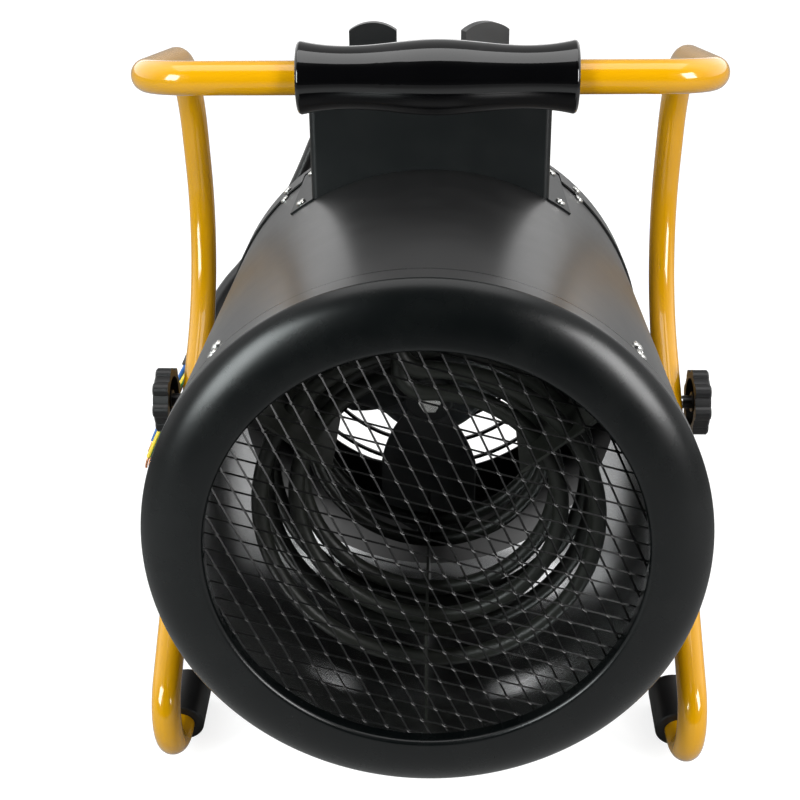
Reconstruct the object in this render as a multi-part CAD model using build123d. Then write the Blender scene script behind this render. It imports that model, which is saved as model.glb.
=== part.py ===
from build123d import *

import math
import os

# Electric drum fan heater on a bent tube stand. All sizes in millimetres and degrees.
#
# Row frame: +X right, the air outlet faces -Y, +Z up, the floor at Z = 0, and the origin
# under the middle of the heater. The pieces of the drum are drawn in the drum's own frame,
# Y along its axis from the mouth backward and Z up from the axis, then tilted on the pivot.

# ---------------------------------------------------------------- driving sizes
tilt_at_rest = 9.3  # how far the outlet looks up when the feet are flat
pivot_back = 229.0  # pivot behind the mouth plane, along the drum axis
pivot_drop = 17.0  # pivot below the drum axis
origin_to_pivot = 64.0  # pivot behind the row's origin, which is under the middle of the heater
seat_gap = 0.3  # left between pieces of different bodies that lie against each other

drum_radius = 148.3  # outside of the steel drum
drum_wall = 1.0
drum_start = -3.2  # front edge of the drum sheet
drum_end = 316.0

liner_gap = 24.3  # air space between the inner tube and the outside of the drum
liner_radius = drum_radius - liner_gap  # outside of the bright inner tube
liner_wall = 0.8
liner_end = 190.0
liner_flange_radius = drum_radius - 0.6

ring_wall = 1.2
ring_radius = drum_radius + 0.4 + ring_wall  # outside of the spun front ring
ring_mouth_radius = ring_radius - 34.5
ring_skirt_end = 11.0
ring_outer_bend = 9.0
ring_lip_bend = 4.2
ring_face_corner = -8.5  # where the face line meets the skirt line
ring_face_slope = 11.5  # degrees, the face leans forward towards its mouth

grille_sheet = 1.2
grille_radius = ring_radius - 11.9
grille_field_radius = ring_mouth_radius + 2.1
cell_long = 24.6  # long diagonal of one cell of the expanded metal
cell_short = 11.9
cell_strand = 1.5
cell_angle = -41.0  # long diagonal against the horizontal

tube_radius = 9.0  # the stand's steel tube
tube_wall = 1.6
side_gap = 6.1  # between the drum and a side tube
side_half = drum_radius + side_gap + tube_radius  # middle of a side tube from the middle
bar_half = side_half - 10.9  # the handle bar's corner point from the middle
foot_drop = 156.0  # foot line below the pivot
foot_end = -120.0  # back end of a foot, before the pivot
leg_slope = 30.6  # degrees, the legs run straight through the pivot down to the front
rear_reach = 98.6  # back of the side tube behind the pivot
shoulder_rise = 210.0
bar_forward = 87.0
bar_rise = 260.0
foot_bend = 30.0
sweep_bend = 128.0
shoulder_bend = 70.0
bar_bend = 30.0
rear_leg_top = 36.0  # the rear leg is welded to the side tubes this far behind the pivot
rear_leg_foot = 113.0
rear_leg_bend = 34.0

grip_length = 147.0
grip_end_radius = 19.4
grip_waist_radius = 16.4
grip_belly_radius = 19.6
grip_waist_place = 42.0
grip_rounding = 2.0
grip_offset = 5.0  # the grip sits a little to the right on its bar

sleeve_radius = 15.0
sleeve_flat = 0.8  # worn flat under a rubber sleeve
sleeve_length = 36.0
sleeve_end_wall = 3.0
rear_sleeve_place = 107.0  # middle of a rear sleeve from the middle

knob_tip_radius = 23.4
knob_lobe_radius = 5.6
knob_lobes = 8
knob_depth = 10.9
knob_neck_length = 5.0
knob_hollow_radius = 16.5
knob_hollow_depth = 6.5
knob_hub_radius = 7.0
knob_neck_radius = 4.5
knob_inner_face = side_half + tube_radius + seat_gap + knob_neck_length
stud_radius = 3.0
stud_inner_end = drum_radius - 14.3
pivot_nut_radius = 7.0
pivot_nut_length = 9.0
pivot_nut_neck = 5.0
pivot_spacer_radius = 10.0

element_radius = 4.6  # sheathed heating tube
element_lead_bend = 14.0
outer_coil_radius = liner_radius - 31
outer_coil_start = 20.0
outer_coil_pitch = 30.0
outer_coil_turns = 3
inner_coil_radius = outer_coil_radius - 19
front_coil_start = 35.0
front_coil_pitch = 30.0
front_coil_turns = 2
rear_coil_start = 125.0
rear_coil_pitch = 26.0
rear_coil_turns = 2
element_top = liner_radius + 10  # end of the sheathed part of a terminal leg
collar_radius = 8.0
collar_height = 3.4
terminal_radius = 2.0
terminal_top = element_top + 9.5
support_sheet = 1.5
support_angles = (-52.0, 52.0, 180.0)
support_inner_radius = inner_coil_radius - 11
support_hole_clearance = 0.3
support_margin = 8.0  # comb before the first turn
support_tail = 6.0  # comb behind the last turn

liner_screw_angles = (-46.5, 46.5, 136.0, -136.0)
liner_screw_places = (16.5, 28.5)
lead_radius = 1.5
lead_level = (liner_radius + drum_radius) / 2 + 0.3  # leads run between liner and drum
lead_lane = 20.5  # innermost lane from the middle plane
lead_spacing = 7.5

screw_head_radius = 3.4
screw_head_height = 1.9
screw_shank_radius = 1.9
hole_clearance = 0.15

fan_middle = 203.0
fan_radius = 108.0
fan_blades = 3
blade_chord = 68.0
blade_pitch = 21.0
blade_sheet = 1.8
blade_camber = 5.0
hub_radius = 17.0
hub_length = 20.0
shaft_radius = 4.0
shaft_start = 185.0
fan_nut_radius = 7.5
fan_nut_length = 6.5
running_clearance = 0.05

motor_radius = 41.0
motor_start = 226.0
motor_end = 294.0
motor_boss_radius = 15.0
motor_boss_length = 4.0
bracket_sheet = 2.0
bracket_arm = 18.0
bracket_tab = 8.0
bracket_angles = (-43.3, 43.3, 180.0)
bracket_hub_radius = 40.0
bracket_opening_radius = 26.0
motor_screw_circle = 33.0

band_wall = 1.0
band_radius = drum_radius + 0.7 + band_wall  # outside of the rear cover
band_start = 297.0
band_end = 326.0
band_opening_radius = band_radius - 31
band_screw_angles = (-42.4, 42.4, 136.0, -136.0)
band_screw_place = 305.0
guard_wire = 2.4
guard_ring_radii = (24.0, 42.0, 60.0, 78.0, 96.0, 114.0, band_opening_radius + 5.3)
guard_spokes = 4
clip_angles = (0.0, 90.0, 180.0, 270.0)
clip_width = 10.0
clip_sheet = 1.2
clip_screw_offset = 4.8  # screw beyond the guard's outer ring

box_half = 75.5
box_front = 215.0
box_rear = 322.0
box_sheet = 1.2
box_height = 55.2  # above the top of the drum
box_top = drum_radius + box_height
box_corner = 4.0
tab_width = 16.0  # mounting flange along each side of the box
tab_rear_margin = 4.0  # drum left uncovered behind a flange
box_screw_places = (223.5, 301.0)
lid_lip = 9.0
lid_sheet = 1.2
lid_screw_places = (231.0, 307.0)
lid_screw_drop = 5.0  # below the top of the walls
lid_screw_grip = 5.0
wiring_slot = (84.0, 40.0)  # hole in the drum top under the box
wiring_slot_place = 275.0

dial_radius = 16.0
dial_base = 5.0
dial_wing_height = 19.2
dial_wing_width = 8.0
dial_places = (37.3 - box_half, box_half - 40.2)
dial_turn_at_rest = (0.0, 22.0)
dial_line = 284.0
spindle_radius = 3.0
switch_half = 17.0
switch_depth = 26.0
switch_tag_length = 5.0
switch_tag_pitch = 9.0
thermostat_half = 16.0
thermostat_depth = 24.0
terminal_block_size = (54.0, 18.0, 18.0)
terminal_block_drop = 17.5  # below the lid
terminal_block_middle = 7.0

cutout_place = (50.0, 241.0)
cutout_half = 12.0
cutout_radius = 8.0

gland_x = 16.5 - box_half
gland_z = drum_radius + 16.7
gland_thread_radius = 8.0
gland_nut_radius = 11.0
gland_nut_length = 9.0
gland_tail_length = 22.0
gland_end = box_rear + gland_nut_length + gland_tail_length

cable_radius = 5.4
core_radius = 1.75
copper_radius = 0.95
# Middle line of the cable, in the drum's frame: back from the bend relief, round behind the
# box, and down behind the left side of the drum. Its first point is on the relief's end.
cable_route = (
    (gland_x, gland_end, gland_z),
    (gland_x, gland_end + 31.0, gland_z),
    (-70.5, 411.0, 151.5),
    (-89.0, 422.5, 128.0),
    (-107.0, 416.5, 99.5),
    (-133.4, 408.0, 58.6),
    (-153.4, 393.0, 28.5),
    (-164.9, 378.0, 12.7),
    (-177.4, 355.5, -11.3),
    (-188.4, 334.0, -35.3),
)
# The three cores, from the end of the sheath to where their insulation is stripped.
blue_route = (
    (-190.07, 332.79, -34.16), (-195.7, 325.0, -43.4), (-204.1, 318.0, -61.2), (-216.1, 312.0, -89.0),
)
earth_route = (
    (-186.45, 332.79, -35.82), (-192.6, 321.0, -43.4), (-199.8, 313.5, -58.1), (-210.1, 308.0, -80.2),
    (-218.7, 304.0, -98.9),
)
brown_route = (
    (-189.17, 335.47, -36.97), (-192.8, 326.5, -46.5), (-198.9, 322.0, -60.6), (-210.2, 318.0, -84.0),
    (-218.1, 314.0, -101.2),
)
core_routes = {"blue_core": blue_route, "earth_core": earth_route, "brown_core": brown_route}
# Bare strands from the end of each core.
copper_routes = (
    ((-216.12, 311.99, -89.05), (-217.9, 311.1, -93.2), (-219.6, 310.6, -97.3)),
    ((-218.72, 303.99, -98.95), (-220.6, 303.1, -103.0), (-220.9, 302.6, -107.3)),
    ((-218.12, 313.99, -101.25), (-220.1, 313.0, -105.5), (-220.7, 312.0, -110.1)),
)

# ---------------------------------------------------------------- places worked out
pivot_height = foot_drop + sleeve_radius - sleeve_flat
pivot = (0, origin_to_pivot, pivot_height)
on_drum = Pos(*pivot) * Rot(X=-tilt_at_rest) * Pos(0, -pivot_back, pivot_drop)
os.makedirs("parts", exist_ok=True)


def save(name, shape):
    """Writes one sub-part that is drawn in the row frame."""
    export_step(shape, f"parts/{name}.step")


def save_on_drum(name, *shapes):
    """Writes one sub-part, or a group of like ones, that is drawn in the drum's frame."""
    placed = [on_drum * shape for shape in shapes]
    save(name, placed[0] if len(placed) == 1 else Compound(children=placed))


def rod(radius, start, end, x=0, z=0):
    """A cylinder along the drum's Y, from start to end."""
    cylinder = Cylinder(radius, end - start, align=(Align.CENTER, Align.CENTER, Align.MIN))
    return Pos(x, start, z) * Rot(X=-90) * cylinder


def pipe(outer, inner, start, end):
    """A plain tube about the drum's axis."""
    return rod(outer, start, end) - rod(inner, start - 1, end + 1)


def standing(radius, low, high, x=0, y=0):
    """A cylinder along Z, from low to high."""
    return Pos(x, y, low) * Cylinder(radius, high - low, align=(Align.CENTER, Align.CENTER, Align.MIN))


def block(x_range, y_range, z_range):
    """A box given by its lowest and highest corners."""
    size = [high - low for low, high in (x_range, y_range, z_range)]
    middle = [(high + low) / 2 for low, high in (x_range, y_range, z_range)]
    return Pos(*middle) * Box(*size)


def radial(angle, place, radius=0):
    """A place on the drum with Z pointing outward, angle degrees round from the top."""
    return Pos(0, place, 0) * Rot(Y=angle) * Pos(0, 0, radius)


def radial_holes(angles, places, radius=screw_shank_radius + hole_clearance):
    """Screw holes through the drum's wall."""
    length = drum_radius + 20
    return [radial(a, y) * standing(radius, length - 60, length) for a in angles for y in places]


def screw(grip):
    """A pan head screw with its seat at Z = 0 and its shank down through the grip."""
    head = standing(screw_head_radius, 0, screw_head_height)
    return head + standing(screw_shank_radius, -grip, 0)


def tube_along(path, radius):
    """A round bar that follows a path."""
    start = path.position_at(0)
    section = Plane(origin=start, z_dir=path.tangent_at(0)) * Circle(radius)
    return sweep(section, path=path)


# ---------------------------------------------------------------- the stand
def frame_path():
    """Middle line of the bent tube: foot, hook, leg, side, handle bar, and the same mirrored."""
    slope = math.tan(math.radians(leg_slope))
    side = [
        (foot_end, -foot_drop),
        (-foot_drop / slope, -foot_drop),
        (rear_reach, rear_reach * slope),
        (rear_reach, shoulder_rise),
    ]
    left = [(-side_half, y, z) for y, z in side] + [(-bar_half, -bar_forward, bar_rise)]
    right = [(-x, y, z) for x, y, z in reversed(left)]
    bends = [foot_bend, sweep_bend, shoulder_bend, bar_bend]
    return Pos(*pivot) * FilletPolyline(*left, *right, radius=bends + bends[::-1])


def hollow_tube(path):
    """The stand's steel tube along a path."""
    start = Plane(origin=path.position_at(0), z_dir=path.tangent_at(0))
    return sweep(start * (Circle(tube_radius) - Circle(tube_radius - tube_wall)), path=path)


def make_frame_tube():
    hole_length = 2 * side_half + 4 * tube_radius
    hole = Pos(*pivot) * Rot(Y=90) * Cylinder(stud_radius + hole_clearance, hole_length)
    return hollow_tube(frame_path()) - hole


def make_rear_leg():
    """Bent tube welded under both side tubes, with its cross bar on the floor line."""
    top = rear_leg_top * math.tan(math.radians(leg_slope))
    left = [(-side_half, rear_leg_top, top), (-side_half, rear_leg_foot, -foot_drop)]
    right = [(-x, y, z) for x, y, z in reversed(left)]
    path = Pos(*pivot) * FilletPolyline(*left, *right, radius=rear_leg_bend)
    leg = hollow_tube(path)
    for side in (-1, 1):
        slanted = Rot(X=leg_slope) * rod(tube_radius + 0.05, -4 * tube_radius, 12 * tube_radius)
        leg -= Pos(*pivot) * Pos(side * side_half, 0, 0) * slanted
    return solid_below(leg, pivot_height + top)


def solid_below(shape, level):
    """The largest solid of a shape whose middle lies below a level."""
    low = [solid for solid in shape.solids() if solid.center().Z < level]
    return max(low, key=lambda solid: solid.volume)


def make_grip():
    """Turned handle sleeve with a waist on each side of its belly."""
    half = grip_length / 2
    bore = tube_radius + hole_clearance
    with BuildPart() as grip:
        with BuildSketch(Plane.XY):
            with BuildLine():
                Polyline((half, grip_end_radius), (half, bore), (-half, bore), (-half, grip_end_radius))
                Spline(
                    (-half, grip_end_radius),
                    (-grip_waist_place, grip_waist_radius),
                    (0, grip_belly_radius),
                    (grip_waist_place, grip_waist_radius),
                    (half, grip_end_radius),
                )
            make_face()
        revolve(axis=Axis.X)
    ends = grip.edges().filter_by(GeomType.CIRCLE).group_by(SortBy.RADIUS)[-1]
    rounded = fillet(ends, grip_rounding)
    return Pos(*pivot) * Pos(grip_offset, -bar_forward, bar_rise) * rounded


def rubber_sleeve(start, end, bore_end):
    """Rubber sleeve along Y with its sole flat, its bore open at the start."""
    outer = rod(sleeve_radius, start, end)
    outer = fillet(outer.edges().filter_by(GeomType.CIRCLE), sleeve_end_wall / 2)
    bore = rod(tube_radius + hole_clearance, start - 1, bore_end)
    below = sleeve_radius - sleeve_flat
    ground = block((-20, 20), (start - 1, end + 1), (-below - 10, -below))
    return outer - bore - ground


def make_foot_sleeve(side):
    """Rubber cap pushed over the end of a foot, flat underneath."""
    end = foot_end + sleeve_end_wall
    cap = rubber_sleeve(end - sleeve_length, end, foot_end + seat_gap)
    return Pos(*pivot) * Pos(side * side_half, 0, -foot_drop) * cap


def make_rear_sleeve(side):
    """Rubber sleeve round the rear leg's cross bar."""
    sleeve = Rot(Z=90) * rubber_sleeve(-sleeve_length / 2, sleeve_length / 2, sleeve_length)
    return Pos(*pivot) * Pos(side * rear_sleeve_place, rear_leg_foot, -foot_drop) * sleeve


# ---------------------------------------------------------------- the tilt clamp, axis along X
def outward(side, distance):
    """A place on the pivot line with Z pointing away from the drum."""
    return Pos(side * distance, pivot_back, -pivot_drop) * Rot(Y=side * 90)


def make_clamp_knob(side):
    """Eight-lobed hand knob, hollow towards the drum, with a neck that bears on the tube."""
    lobes = Circle(knob_tip_radius - knob_lobe_radius / 2)
    step = 360 / knob_lobes
    lobes += [
        Rot(Z=step * i) * Pos(knob_tip_radius - knob_lobe_radius, 0) * Circle(knob_lobe_radius)
        for i in range(knob_lobes)
    ]
    knob = extrude(lobes, knob_depth)
    knob = chamfer(knob.edges().group_by(Axis.Z)[-1], 1.2)
    knob -= standing(knob_hollow_radius, -1, knob_hollow_depth)
    knob += standing(knob_hub_radius, 1, knob_hollow_depth)
    knob += standing(knob_neck_radius, -knob_neck_length, knob_hollow_depth)
    knob -= standing(stud_radius + running_clearance, -knob_neck_length - 1, knob_depth - 2)
    return outward(side, knob_inner_face) * knob


def make_clamp_stud(side):
    stud = standing(stud_radius, stud_inner_end, knob_inner_face + knob_depth - 2 - seat_gap)
    return outward(side, 0) * stud


def make_pivot_nut(side):
    """Rivet nut in the drum's wall that the stud screws into."""
    shoulder = math.sqrt((drum_radius - drum_wall) ** 2 - (pivot_drop + pivot_nut_radius) ** 2) - 0.1
    neck_end = math.sqrt(drum_radius**2 - (pivot_drop + pivot_nut_neck) ** 2)
    nut = standing(pivot_nut_radius, shoulder - pivot_nut_length, shoulder)
    neck = standing(pivot_nut_neck, shoulder, neck_end)
    bore = standing(stud_radius + running_clearance, shoulder - 2 * pivot_nut_length, drum_radius + 1)
    return outward(side, 0) * (nut + neck - bore)


def make_pivot_spacer(side):
    """Plastic washer hollowed to the drum, between its wall and the side tube."""
    face = side_half - tube_radius - seat_gap
    disc = standing(pivot_spacer_radius, drum_radius - 4, face)
    disc -= standing(stud_radius + hole_clearance, 0, side_half)
    return outward(side, 0) * disc - rod(drum_radius + 0.1, 0, drum_end)


# ---------------------------------------------------------------- the drum
def make_drum_shell():
    shell = pipe(drum_radius, drum_radius - drum_wall, drum_start, drum_end)
    shell -= radial_holes(liner_screw_angles, liner_screw_places)
    shell -= radial_holes(band_screw_angles, (band_screw_place,))
    shell -= radial_holes((-tab_angle(), tab_angle()), box_screw_places)
    shell -= radial_holes(bracket_angles, (bracket_screw_place(),))
    for side in (-1, 1):
        shell -= outward(side, 0) * standing(pivot_nut_neck + hole_clearance, drum_radius * 0.8, side_half)
    half_x, half_y = wiring_slot[0] / 2, wiring_slot[1] / 2
    along = (wiring_slot_place - half_y, wiring_slot_place + half_y)
    return shell - block((-half_x, half_x), along, (drum_radius * 0.8, drum_radius + 1))


def ring_profile(inset):
    """Section of the front ring, drawn with X as radius and Y along the drum."""
    slope = math.tan(math.radians(ring_face_slope))
    lean = math.cos(math.radians(ring_face_slope))
    outer = ring_radius - inset
    mouth = ring_mouth_radius + inset

    def face_at(radius):
        return ring_face_corner - (ring_radius - radius) * slope + inset / lean

    corners = [
        (outer, ring_skirt_end),
        (outer, face_at(outer)),
        (mouth, face_at(mouth)),
        (mouth, ring_lip_end()),
    ]
    return FilletPolyline(*corners, radius=[ring_outer_bend - inset, ring_lip_bend - inset])


def ring_lip_end():
    return drum_start - liner_wall - grille_sheet - seat_gap


def make_front_ring():
    """Spun ring: skirt over the drum, leaning face, and a rolled mouth."""
    outside, inside = ring_profile(0), ring_profile(ring_wall)
    closing = [Line(outside @ 0, inside @ 0), Line(outside @ 1, inside @ 1)]
    section = make_face(Curve() + outside + inside + closing)
    return revolve(section, axis=Axis.Y)


def make_inner_liner():
    """Bright inner tube with a front flange that closes the gap to the drum."""
    liner = pipe(liner_radius, liner_radius - liner_wall, drum_start - liner_wall, liner_end)
    liner += pipe(liner_flange_radius, liner_radius - liner_wall, drum_start - liner_wall, drum_start)
    for x, place in terminal_places():
        liner -= standing(element_radius + hole_clearance * 2, liner_radius * 0.8, liner_radius + 1, x, place)
    return liner


def make_liner_bracket(angle):
    """Z strip that holds the liner off the drum, under one pair of screws."""
    sheet = 1.2
    half = 8.0
    low, high = liner_radius + 0.05, drum_radius - drum_wall - 0.25
    strip = block((-half, half), (10.0, 36.0), (high - sheet, high))
    strip += block((-half, half), (36.0 - sheet, 36.0), (low, high))
    strip += block((-half, half), (36.0 - sheet, 52.0), (low, low + sheet))
    place = radial(angle, 0)
    hole_radius = screw_shank_radius + hole_clearance
    holes = [standing(hole_radius, low + 2 * sheet, high + 1, 0, y) for y in liner_screw_places]
    return place * (strip - holes)


def make_grille():
    """Expanded metal: a sheet with rows of rhombus cells inside a plain rim."""
    half_long, half_short = cell_long / 2, cell_short / 2
    inset = cell_strand / 2 / math.sin(math.atan2(half_short, half_long))
    open_long = half_long - inset
    open_short = open_long * half_short / half_long
    cell = Polygon((open_long, 0), (0, open_short), (-open_long, 0), (0, -open_short))
    field = Circle(grille_field_radius)
    reach = int(grille_field_radius / half_short) + 1
    cells = []
    for row in range(-reach, reach + 1):
        for column in range(-reach, reach + 1):
            x, z = column * half_long, row * half_short
            if (row + column) % 2 or math.hypot(x, z) > grille_field_radius:
                continue
            opening = Pos(x, z) * cell
            if math.hypot(abs(x) + open_long, z) > grille_field_radius - open_short:
                opening = opening & field
            cells.append(opening)
    print("grille cells", len(cells))
    sheet = Circle(grille_radius) - Rot(Z=cell_angle) * Sketch(children=cells)
    front = drum_start - liner_wall - grille_sheet
    return Pos(0, front + grille_sheet, 0) * Rot(X=90) * extrude(sheet, grille_sheet)


# ---------------------------------------------------------------- heating elements
def terminal_places():
    """Where the six terminal legs stand: (x, y) in the drum's frame."""
    coils = (
        (outer_coil_start, outer_coil_pitch * outer_coil_turns),
        (front_coil_start, front_coil_pitch * front_coil_turns),
        (rear_coil_start, rear_coil_pitch * rear_coil_turns),
    )
    ends = []
    for start, length in coils:
        ends += [(-element_lead_bend, start), (element_lead_bend, start + length)]
    return ends


def biarc(start, start_way, end, end_way):
    """Two arcs that run smoothly from one place and heading to another."""
    across, ways = end - start, start_way + end_way
    # The handle length d solves |across - d * ways| = 2 d.
    a, b, c = 4 - ways.dot(ways), 2 * across.dot(ways), -across.dot(across)
    d = (-b + math.sqrt(b * b - 4 * a * c)) / (2 * a)
    first, last = start + start_way * d, end - end_way * d
    middle = (first + last) / 2
    return [
        Edge.make_tangent_arc(start, start_way, middle),
        Edge.make_tangent_arc(middle, (last - first).normalized(), end),
    ]


def coil_path(radius, start, pitch, turns):
    """Terminal leg, bend, turns in quarter steps, bend, terminal leg."""
    bend = element_lead_bend

    def place(quarter):
        angle = math.radians(90 * quarter)
        return Vector(radius * math.sin(angle), start + pitch * quarter / 4, radius * math.cos(angle))

    def heading(quarter):
        angle = math.radians(90 * quarter)
        rise = pitch / (2 * math.pi)
        return Vector(radius * math.cos(angle), rise, -radius * math.sin(angle)).normalized()

    last = turns * 4
    down, up = Vector(-bend, start, radius + bend), Vector(bend, start + pitch * turns, radius + bend)
    edges = [Edge.make_line((down.X, down.Y, element_top), down)]
    edges += biarc(down, Vector(0, 0, -1), place(0), heading(0))
    for quarter in range(last):
        edges += biarc(place(quarter), heading(quarter), place(quarter + 1), heading(quarter + 1))
    edges += biarc(place(last), heading(last), up, Vector(0, 0, 1))
    edges += [Edge.make_line(up, (up.X, up.Y, element_top))]
    return Wire(edges)


def least_self_gap(path, radius):
    """Smallest clear distance between stretches of one tube that aren't neighbours."""
    count = 400
    length = path.length
    points = [path.position_at(i / count) for i in range(count + 1)]
    apart = int(8 * radius / length * count) + 2
    gaps = [
        (points[i] - points[j]).length for i in range(count + 1) for j in range(i + apart, count + 1)
    ]
    return min(gaps) - 2 * radius


def make_element(name, radius, start, pitch, turns):
    path = coil_path(radius, start, pitch, turns)
    print(name, "length", round(path.length), "least gap", round(least_self_gap(path, element_radius), 2))
    return tube_along(path, element_radius)


def make_collar(x, place):
    """Collar brazed on a terminal leg, resting on the liner."""
    seat = liner_radius + seat_gap
    collar = standing(collar_radius, seat, seat + collar_height, x, place)
    return collar - standing(element_radius + 0.02, seat - 1, seat + collar_height + 1, x, place)


def make_terminal(x, place):
    """Ceramic-seated stud on the end of a leg, with its nut."""
    bead = standing(element_radius - 0.8, element_top, element_top + 2.5, x, place)
    stud = standing(terminal_radius, element_top, terminal_top, x, place)
    nut = Pos(x, place, element_top + 4.2) * extrude(RegularPolygon(4.0, 6), 3.0)
    return bead + stud + nut


def make_element_support(angle):
    """Flat comb between the coils and the liner, with a hole for each turn it carries."""
    outer = liner_radius - liner_wall - seat_gap
    start = outer_coil_start - support_margin
    end = rear_coil_start + rear_coil_pitch * rear_coil_turns + support_tail
    comb = block((-support_sheet / 2, support_sheet / 2), (start, end), (support_inner_radius, outer))
    hole_radius = element_radius + support_hole_clearance
    coils = (
        (outer_coil_radius, outer_coil_start, outer_coil_pitch, outer_coil_turns),
        (inner_coil_radius, front_coil_start, front_coil_pitch, front_coil_turns),
        (inner_coil_radius, rear_coil_start, rear_coil_pitch, rear_coil_turns),
    )
    part_turn = (angle % 360) / 360
    for radius, start, pitch, turns in coils:
        for turn in range(turns):
            place = start + pitch * (turn + part_turn)
            comb -= Pos(0, place, radius) * Rot(Y=90) * Cylinder(hole_radius, 8)
    return Rot(Y=angle) * comb


def make_element_leads():
    """Sleeved wires from the terminals, back between liner and drum, up to the switch."""
    leads = []
    for side in (-1, 1):
        ends = sorted((place, x) for x, place in terminal_places() if x * side > 0)
        for rank, (place, x) in enumerate(ends):
            lane = side * (lead_lane + lead_spacing * (len(ends) - 1 - rank))
            level = math.sqrt(lead_level**2 - lane**2)
            tag_x, tag_y, tag_z = switch_tag(side, rank - 1)
            points = [
                (x + side * 5.6, place, element_top + 5.7),
                (lane, place + 14, level),
                (lane, tag_y, level),
                (lane, tag_y, level + 20),
                (tag_x, tag_y, tag_z - 12),
                (tag_x, tag_y, tag_z),
            ]
            leads.append(tube_along(FilletPolyline(*points, radius=[3, 5, 4, 4]), lead_radius))
    return leads


# ---------------------------------------------------------------- fan and motor
def blade():
    """One broad petal: a cambered sheet at its pitch, trimmed to its outline."""
    camber_radius = (blade_chord**2 / 4 + blade_camber**2) / (2 * blade_camber)
    arc = Circle(camber_radius) - Circle(camber_radius - blade_sheet)
    sheet = Pos(0, -camber_radius, 0) * extrude(arc, fan_radius + 5)
    sheet &= block((-blade_chord / 2, blade_chord / 2), (-30, 10), (0, fan_radius + 5))
    pitched = Rot(Z=blade_pitch) * Pos(0, blade_camber / 2, 0) * sheet
    wide, tip, root = blade_chord, fan_radius, hub_radius * 0.7
    left_root, left_tip = (-0.16 * wide, root), (-0.39 * wide, 0.85 * tip)
    right_root, right_tip = (0.17 * wide, root), (0.47 * wide, 0.78 * tip)
    left_bulge, right_bulge = (-0.48 * wide, 0.48 * tip), (0.44 * wide, 0.38 * tip)
    outline = make_face(
        Curve()
        + ThreePointArc(left_root, left_bulge, left_tip)
        + ThreePointArc(left_tip, (0.08 * wide, tip), right_tip)
        + ThreePointArc(right_tip, right_bulge, right_root)
        + Line(right_root, left_root)
    )
    # The outline stands in X and Z, so it is cut along Y.
    trim = Pos(0, 40, 0) * Rot(X=90) * extrude(outline, 80)
    return pitched & trim


def make_fan():
    hub = rod(hub_radius, -hub_length / 2, hub_length / 2)
    hub = fillet(hub.edges().sort_by(Axis.Y)[0], 3)
    fan = hub
    for i in range(fan_blades):
        fan += Rot(Y=180 + 360 / fan_blades * i) * blade()
    fan -= rod(shaft_radius, -hub_length, hub_length)
    return Pos(0, fan_middle, 0) * fan


def make_motor():
    """Closed motor body with a boss at its front and a shallow rear cap."""
    body = rod(motor_radius, motor_start, motor_end)
    body = fillet(body.edges().filter_by(GeomType.CIRCLE).group_by(Axis.Y)[0], 5)
    body += rod(motor_boss_radius, motor_start - motor_boss_length, motor_start + 1)
    body -= rod(shaft_radius + running_clearance, motor_start - 10, motor_end - 10)
    seam = pipe(motor_radius + 1, motor_radius - 1, 0, 1.6)
    return body - Pos(0, motor_start + 18, 0) * seam - Pos(0, motor_end - 18, 0) * seam


def bracket_screw_place():
    return motor_end + bracket_sheet - bracket_tab / 2 - 0.2


def make_motor_bracket():
    """Three-armed strap that carries the motor from the drum's wall."""
    reach = drum_radius - drum_wall - 0.3
    plate = rod(bracket_hub_radius, motor_end, motor_end + bracket_sheet)
    plate -= rod(bracket_opening_radius, motor_end - 1, motor_end + bracket_sheet + 1)
    half = bracket_arm / 2
    for angle in bracket_angles:
        rear = motor_end + bracket_sheet
        arm = block((-half, half), (motor_end, rear), (bracket_hub_radius - 6, reach))
        tab = block((-half, half), (rear - bracket_tab, rear), (reach - bracket_sheet, reach))
        plate += Rot(Y=angle) * (arm + tab)
    plate -= pipe(drum_radius * 1.2, drum_radius - drum_wall - 0.05, motor_end - 20, motor_end + 10)
    plate -= radial_holes(bracket_angles, (bracket_screw_place(),))
    return plate - motor_screw_holes()


def motor_screw_spots():
    return [Rot(Y=45 + 90 * i) * Pos(0, 0, motor_screw_circle) for i in range(4)]


def motor_screw_holes():
    hole = rod(screw_shank_radius + hole_clearance, motor_end - 12, motor_end + 8)
    return [spot * hole for spot in motor_screw_spots()]


def make_motor_screws():
    """Four screws from behind, through the strap into the motor."""
    seat = Pos(0, motor_end + bracket_sheet, 0) * Rot(X=-90)
    return [spot * seat * screw(8.0) for spot in motor_screw_spots()]


def make_fan_nut():
    """Nut on the shaft's front end, against the hub."""
    face = fan_middle - hub_length / 2
    hexagon = extrude(RegularPolygon(fan_nut_radius, 6), fan_nut_length)
    nut = Pos(0, face - fan_nut_length, 0) * Rot(X=-90) * hexagon
    return nut - rod(shaft_radius, face - 2 * fan_nut_length, face + 1)


# ---------------------------------------------------------------- rear cover and guard
def make_rear_cover():
    """Shallow pan over the drum's back edge, open in the middle."""
    cover = pipe(band_radius, band_radius - band_wall, band_start, band_end)
    cover += pipe(band_radius, band_opening_radius, band_end - band_wall, band_end)
    cover -= radial_holes(band_screw_angles, (band_screw_place,))
    flange_end = math.radians(2 * tab_angle()) - math.asin(box_half / drum_radius)
    half_way = (drum_radius + box_sheet) * math.sin(flange_end) + 2 * seat_gap
    along, upward = (band_start - 1, drum_end + seat_gap), (drum_radius * 0.5, band_radius + 1)
    cover -= block((-half_way, half_way), along, upward)
    screw_place = guard_ring_radii[-1] + guard_wire / 2 + clip_screw_offset
    hole = rod(screw_shank_radius + hole_clearance, band_end - 5, band_end + 5, 0, screw_place)
    return cover - [Rot(Y=angle) * hole for angle in clip_angles]


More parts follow.
